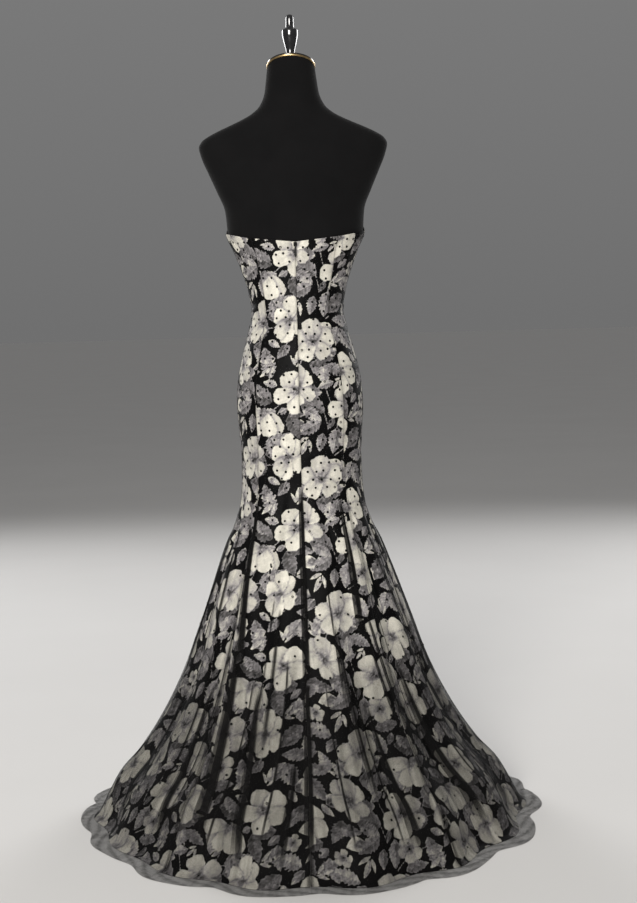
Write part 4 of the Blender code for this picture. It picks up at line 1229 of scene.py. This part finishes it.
def turnedPiece(name, base, rows):
    # A disc drawn out as on a lathe. Rows: height over the base, and radius (mm).
    rows = [(level / 1000, radius / 1000) for level, radius in rows]
    spot = (0, neckTrim["centre"], base)
    bpy.ops.mesh.primitive_circle_add(vertices=neckTrim["sides"], radius=rows[0][1], fill_type="NGON",
                                      location=(0, neckTrim["centre"], base + rows[0][0]))
    piece = drawOut(spot, rows, True)
    piece.name = name
    return piece


def slantPiece(piece):
    # The neck is cut on a slant, high at the back, and is a little shallower than it is wide.
    slope = math.tan(math.radians(formShape["slant"]))
    for vertex in piece.data.vertices:
        out = (vertex.co.y - neckTrim["centre"]) * formShape["neckDepth"]
        vertex.co.y = neckTrim["centre"] + out
        vertex.co.z += out * slope


def selectOnly(pieces):
    bpy.ops.object.select_all(action="DESELECT")
    for piece in pieces:
        piece.select_set(True)
    bpy.context.view_layer.objects.active = pieces[0]


def joinPieces(pieces, name):
    selectOnly(pieces)
    bpy.ops.object.join()
    pieces[0].name = name
    pieces[0].data.name = name
    return pieces[0]


def smoothPiece(piece, angle=40):
    selectOnly([piece])
    bpy.ops.object.shade_smooth_by_angle(angle=math.radians(angle))


def makeNeckTrim():
    rim = turnedPiece("rim_ring", neckTrim["rimBase"], neckTrim["rim"])
    slantPiece(rim)
    cap = turnedPiece("cap_plate", neckTrim["capBase"], neckTrim["cap"])
    slantPiece(cap)
    boss = turnedPiece("cap_boss", neckTrim["bossBase"], neckTrim["boss"])
    cap = joinPieces([cap, boss], "cap_plate")
    places, radii = zip(*neckTrim["finial"])
    profile = smoothCurve(places, radii)
    levels = np.linspace(places[0], places[-1], neckTrim["finialRows"])
    rows = [(float(level), float(profile(level))) for level in levels]
    finial = turnedPiece("finial_turned", neckTrim["finialBase"], rows)
    for piece, material, slot, node in ((rim, "gilt", "rim_gold", "neck_rim"),
                                        (cap, "lacquer", "cap_black", "neck_cap"),
                                        (finial, "lacquer", "cap_black", "finial")):
        smoothPiece(piece)
        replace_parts(dress(piece, material), node)


makeNeckTrim()
print("neck trim ready")

# Zip slider and its pull

zipPull = {
    "bar": (0, 0.1060, 1.26808),
    "lean": -0.1337,
    "plate": (0.0074, 0.0012, 0.0090),
    "plateBack": 0.0026,  # how far behind the bar the plate's face lies
    "post": (0.0008, 0.0024),
    "postInner": 0.0018,
    "postOver": 0.0009,
    "barRadius": 0.0006,
    "thick": 0.0011,
    # drop below the bar, and half width (mm)
    "rows": ((0.8, 1.3), (3.4, 1.3), (5.6, 1.4), (8, 1.55), (11, 1.7), (14, 1.9), (17, 2.1), (20, 2.2),
             (22, 2.2), (23.5, 2.15), (24.7, 1.9), (25.5, 1.65), (26.2, 1.3), (26.6, 0.9)),
    "eye": (0.0014, 0.0004, 0.0012),  # middle radius, half its wall and half its width
    "rounding": 0.00025,
    "nose": (0.55, 0.32, 0.30),  # width, height and place of the plate's nose, as shares of the plate
}


def roundEdges(piece, width, segments, angle):
    bevel = piece.modifiers.new("rounding", "BEVEL")
    bevel.width = width
    bevel.segments = segments
    bevel.limit_method = "ANGLE"
    bevel.angle_limit = math.radians(angle)
    bpy.ops.object.modifier_apply(modifier="rounding")


def zipBlock(size, centre, rounding):
    bpy.ops.mesh.primitive_cube_add(size=1, location=centre)
    block = bpy.context.active_object
    bpy.ops.transform.resize(value=size, center_override=centre)
    applyMoves()
    roundEdges(block, rounding, 3, 30)
    return block


def zipRod(radius, length, centre):
    bpy.ops.mesh.primitive_cylinder_add(vertices=24, radius=radius, depth=length, location=centre,
                                        rotation=(0, math.pi / 2, 0))
    applyMoves()
    return bpy.context.active_object


def makeSlider():
    x, y, z = zipPull["bar"]
    wide, thick, tall = zipPull["plate"]
    noseWide, noseTall, noseUp = zipPull["nose"]
    rounding = zipPull["rounding"]
    plateY = y - zipPull["plateBack"] - thick / 2
    parts = [zipBlock((wide, thick, tall), (x, plateY, z), 2 * rounding)]
    noseSize = (wide * noseWide, thick, tall * noseTall)
    parts.append(zipBlock(noseSize, (x, plateY, z + tall * noseUp), rounding))
    postThick, postTall = zipPull["post"]
    postX = zipPull["postInner"] + postThick / 2
    deep = zipPull["plateBack"] + zipPull["postOver"] + thick / 3
    for side in (-1, 1):
        spot = (x + side * postX, y + zipPull["postOver"] - deep / 2, z)
        parts.append(zipBlock((postThick, deep, postTall), spot, rounding))
    parts.append(zipRod(zipPull["barRadius"], 2 * postX, (x, y, z)))
    slider = joinPieces(parts, "slider_body")
    bpy.ops.transform.rotate(value=-zipPull["lean"], orient_axis="X", center_override=(x, y, z))
    applyMoves()
    smoothPiece(slider)
    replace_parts(dress(slider, "zip"), "zip_slider")


def makePull():
    x, y, z = bar = zipPull["bar"]
    rows = [(-drop / 1000, half / 1000) for drop, half in zipPull["rows"]]
    start = (x, y, z + rows[0][0])
    bpy.ops.mesh.primitive_plane_add(size=1, location=start)
    bpy.ops.transform.resize(value=(2 * rows[0][1], zipPull["thick"], 1), center_override=start)
    applyMoves()
    tab = drawOut(bar, rows, False)
    roundEdges(tab, zipPull["rounding"], 2, 40)
    middle, wall, halfWide = zipPull["eye"]
    bpy.ops.mesh.primitive_torus_add(major_radius=middle, minor_radius=wall, major_segments=32,
                                     minor_segments=12, location=bar, rotation=(0, math.pi / 2, 0))
    eye = bpy.context.active_object
    bpy.ops.transform.resize(value=(halfWide / wall, 1, 1), center_override=bar)
    applyMoves()
    pull = joinPieces([tab, eye], "pull_tab")
    smoothPiece(pull)
    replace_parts(dress(pull, "zip", "pull"), "zip_pull")


makeSlider()
makePull()
print("zip ready")

# Camera, light and floor

studio = {
    "camera": (-0.0383, 3.2, 1.10),
    "down": 5.16,
    "roll": 0.0265,
    "focal": 1430 / 903 * 36,  # 1430 pixels of 903, on 36 mm
    "key": (1.1, 5.5, 2.3),
    "keyPower": 122,
    "keySpread": 90,  # degrees, as of a softbox with a grid
    "leftLight": (3.4, -4.6, 2.8),
    "rightLight": (-3.4, -4.6, 2.8),
    "sidePower": 70,
    "sideSpread": 110,
    "horizon": 0.160,
    "zenith": 0.300,
}


def makeCamera():
    data = bpy.data.cameras.new("camera")
    data.lens = studio["focal"]
    data.sensor_width = 36
    data.sensor_fit = "AUTO"
    camera = addObject("camera", data)
    down, roll = math.radians(studio["down"]), studio["roll"]
    right = Vector((-1, 0, 0))
    up = Vector((0, -math.sin(down), math.cos(down)))
    forward = Vector((0, -math.cos(down), -math.sin(down)))
    rolledRight = right * math.cos(roll) - up * math.sin(roll)
    rolledUp = right * math.sin(roll) + up * math.cos(roll)
    turn = Matrix((rolledRight, rolledUp, -forward)).transposed().to_4x4()
    camera.matrix_world = Matrix.Translation(studio["camera"]) @ turn
    bpy.context.scene.camera = camera


def addLight(name, place, target, size, power, colour, spread=180):
    data = bpy.data.lights.new(name, "AREA")
    data.shape = "RECTANGLE"
    data.size, data.size_y = size
    data.energy = power
    data.color = colour
    data.spread = math.radians(spread)
    light = addObject(name, data)
    way = Vector(target) - Vector(place)
    light.matrix_world = Matrix.Translation(place) @ way.to_track_quat("-Z", "Y").to_matrix().to_4x4()


def makeStudio():
    bpy.ops.mesh.primitive_plane_add(size=240, location=(0, 0, 0))
    floor = bpy.context.active_object
    floor.name = "floor"
    material, tree, shader = newMaterial("paleFloor", (0.62, 0.61, 0.60), 0.8)
    addColour(tree, shader, noise(tree, onObject(tree), 1.3), (0.60, 0.59, 0.58), (0.65, 0.64, 0.63))
    floor.data.materials.append(material)
    addLight("key", studio["key"], (0, 0.1, 1.05), (2.2, 2.2), studio["keyPower"], (1.0, 0.975, 0.93),
             studio["keySpread"])
    for name, place in (("left", studio["leftLight"]), ("right", studio["rightLight"])):
        addLight(name, place, (0, 0, 0.8), (2.4, 2.4), studio["sidePower"], (1, 1, 1), studio["sideSpread"])
    world = bpy.data.worlds.new("room")
    world.use_nodes = True
    tree = world.node_tree
    way = addNode(tree, "TexCoord").outputs["Generated"]
    up = addNode(tree, "SeparateXYZ", {0: way}).outputs["Z"]
    shade = mapRange(tree, up, 0, 1, studio["horizon"], studio["zenith"])
    colour = addNode(tree, "CombineColor", {0: shade, 1: shade, 2: shade}).outputs[0]
    tree.links.new(colour, tree.nodes["Background"].inputs[0])
    bpy.context.scene.world = world
    bpy.context.scene.view_settings.view_transform = "Standard"


makeCamera()
makeStudio()

for name, node in cadNodes.items():
    if not node.hide_render:
        for slot in node.material_slots:
            slot.material = materials["steel"]
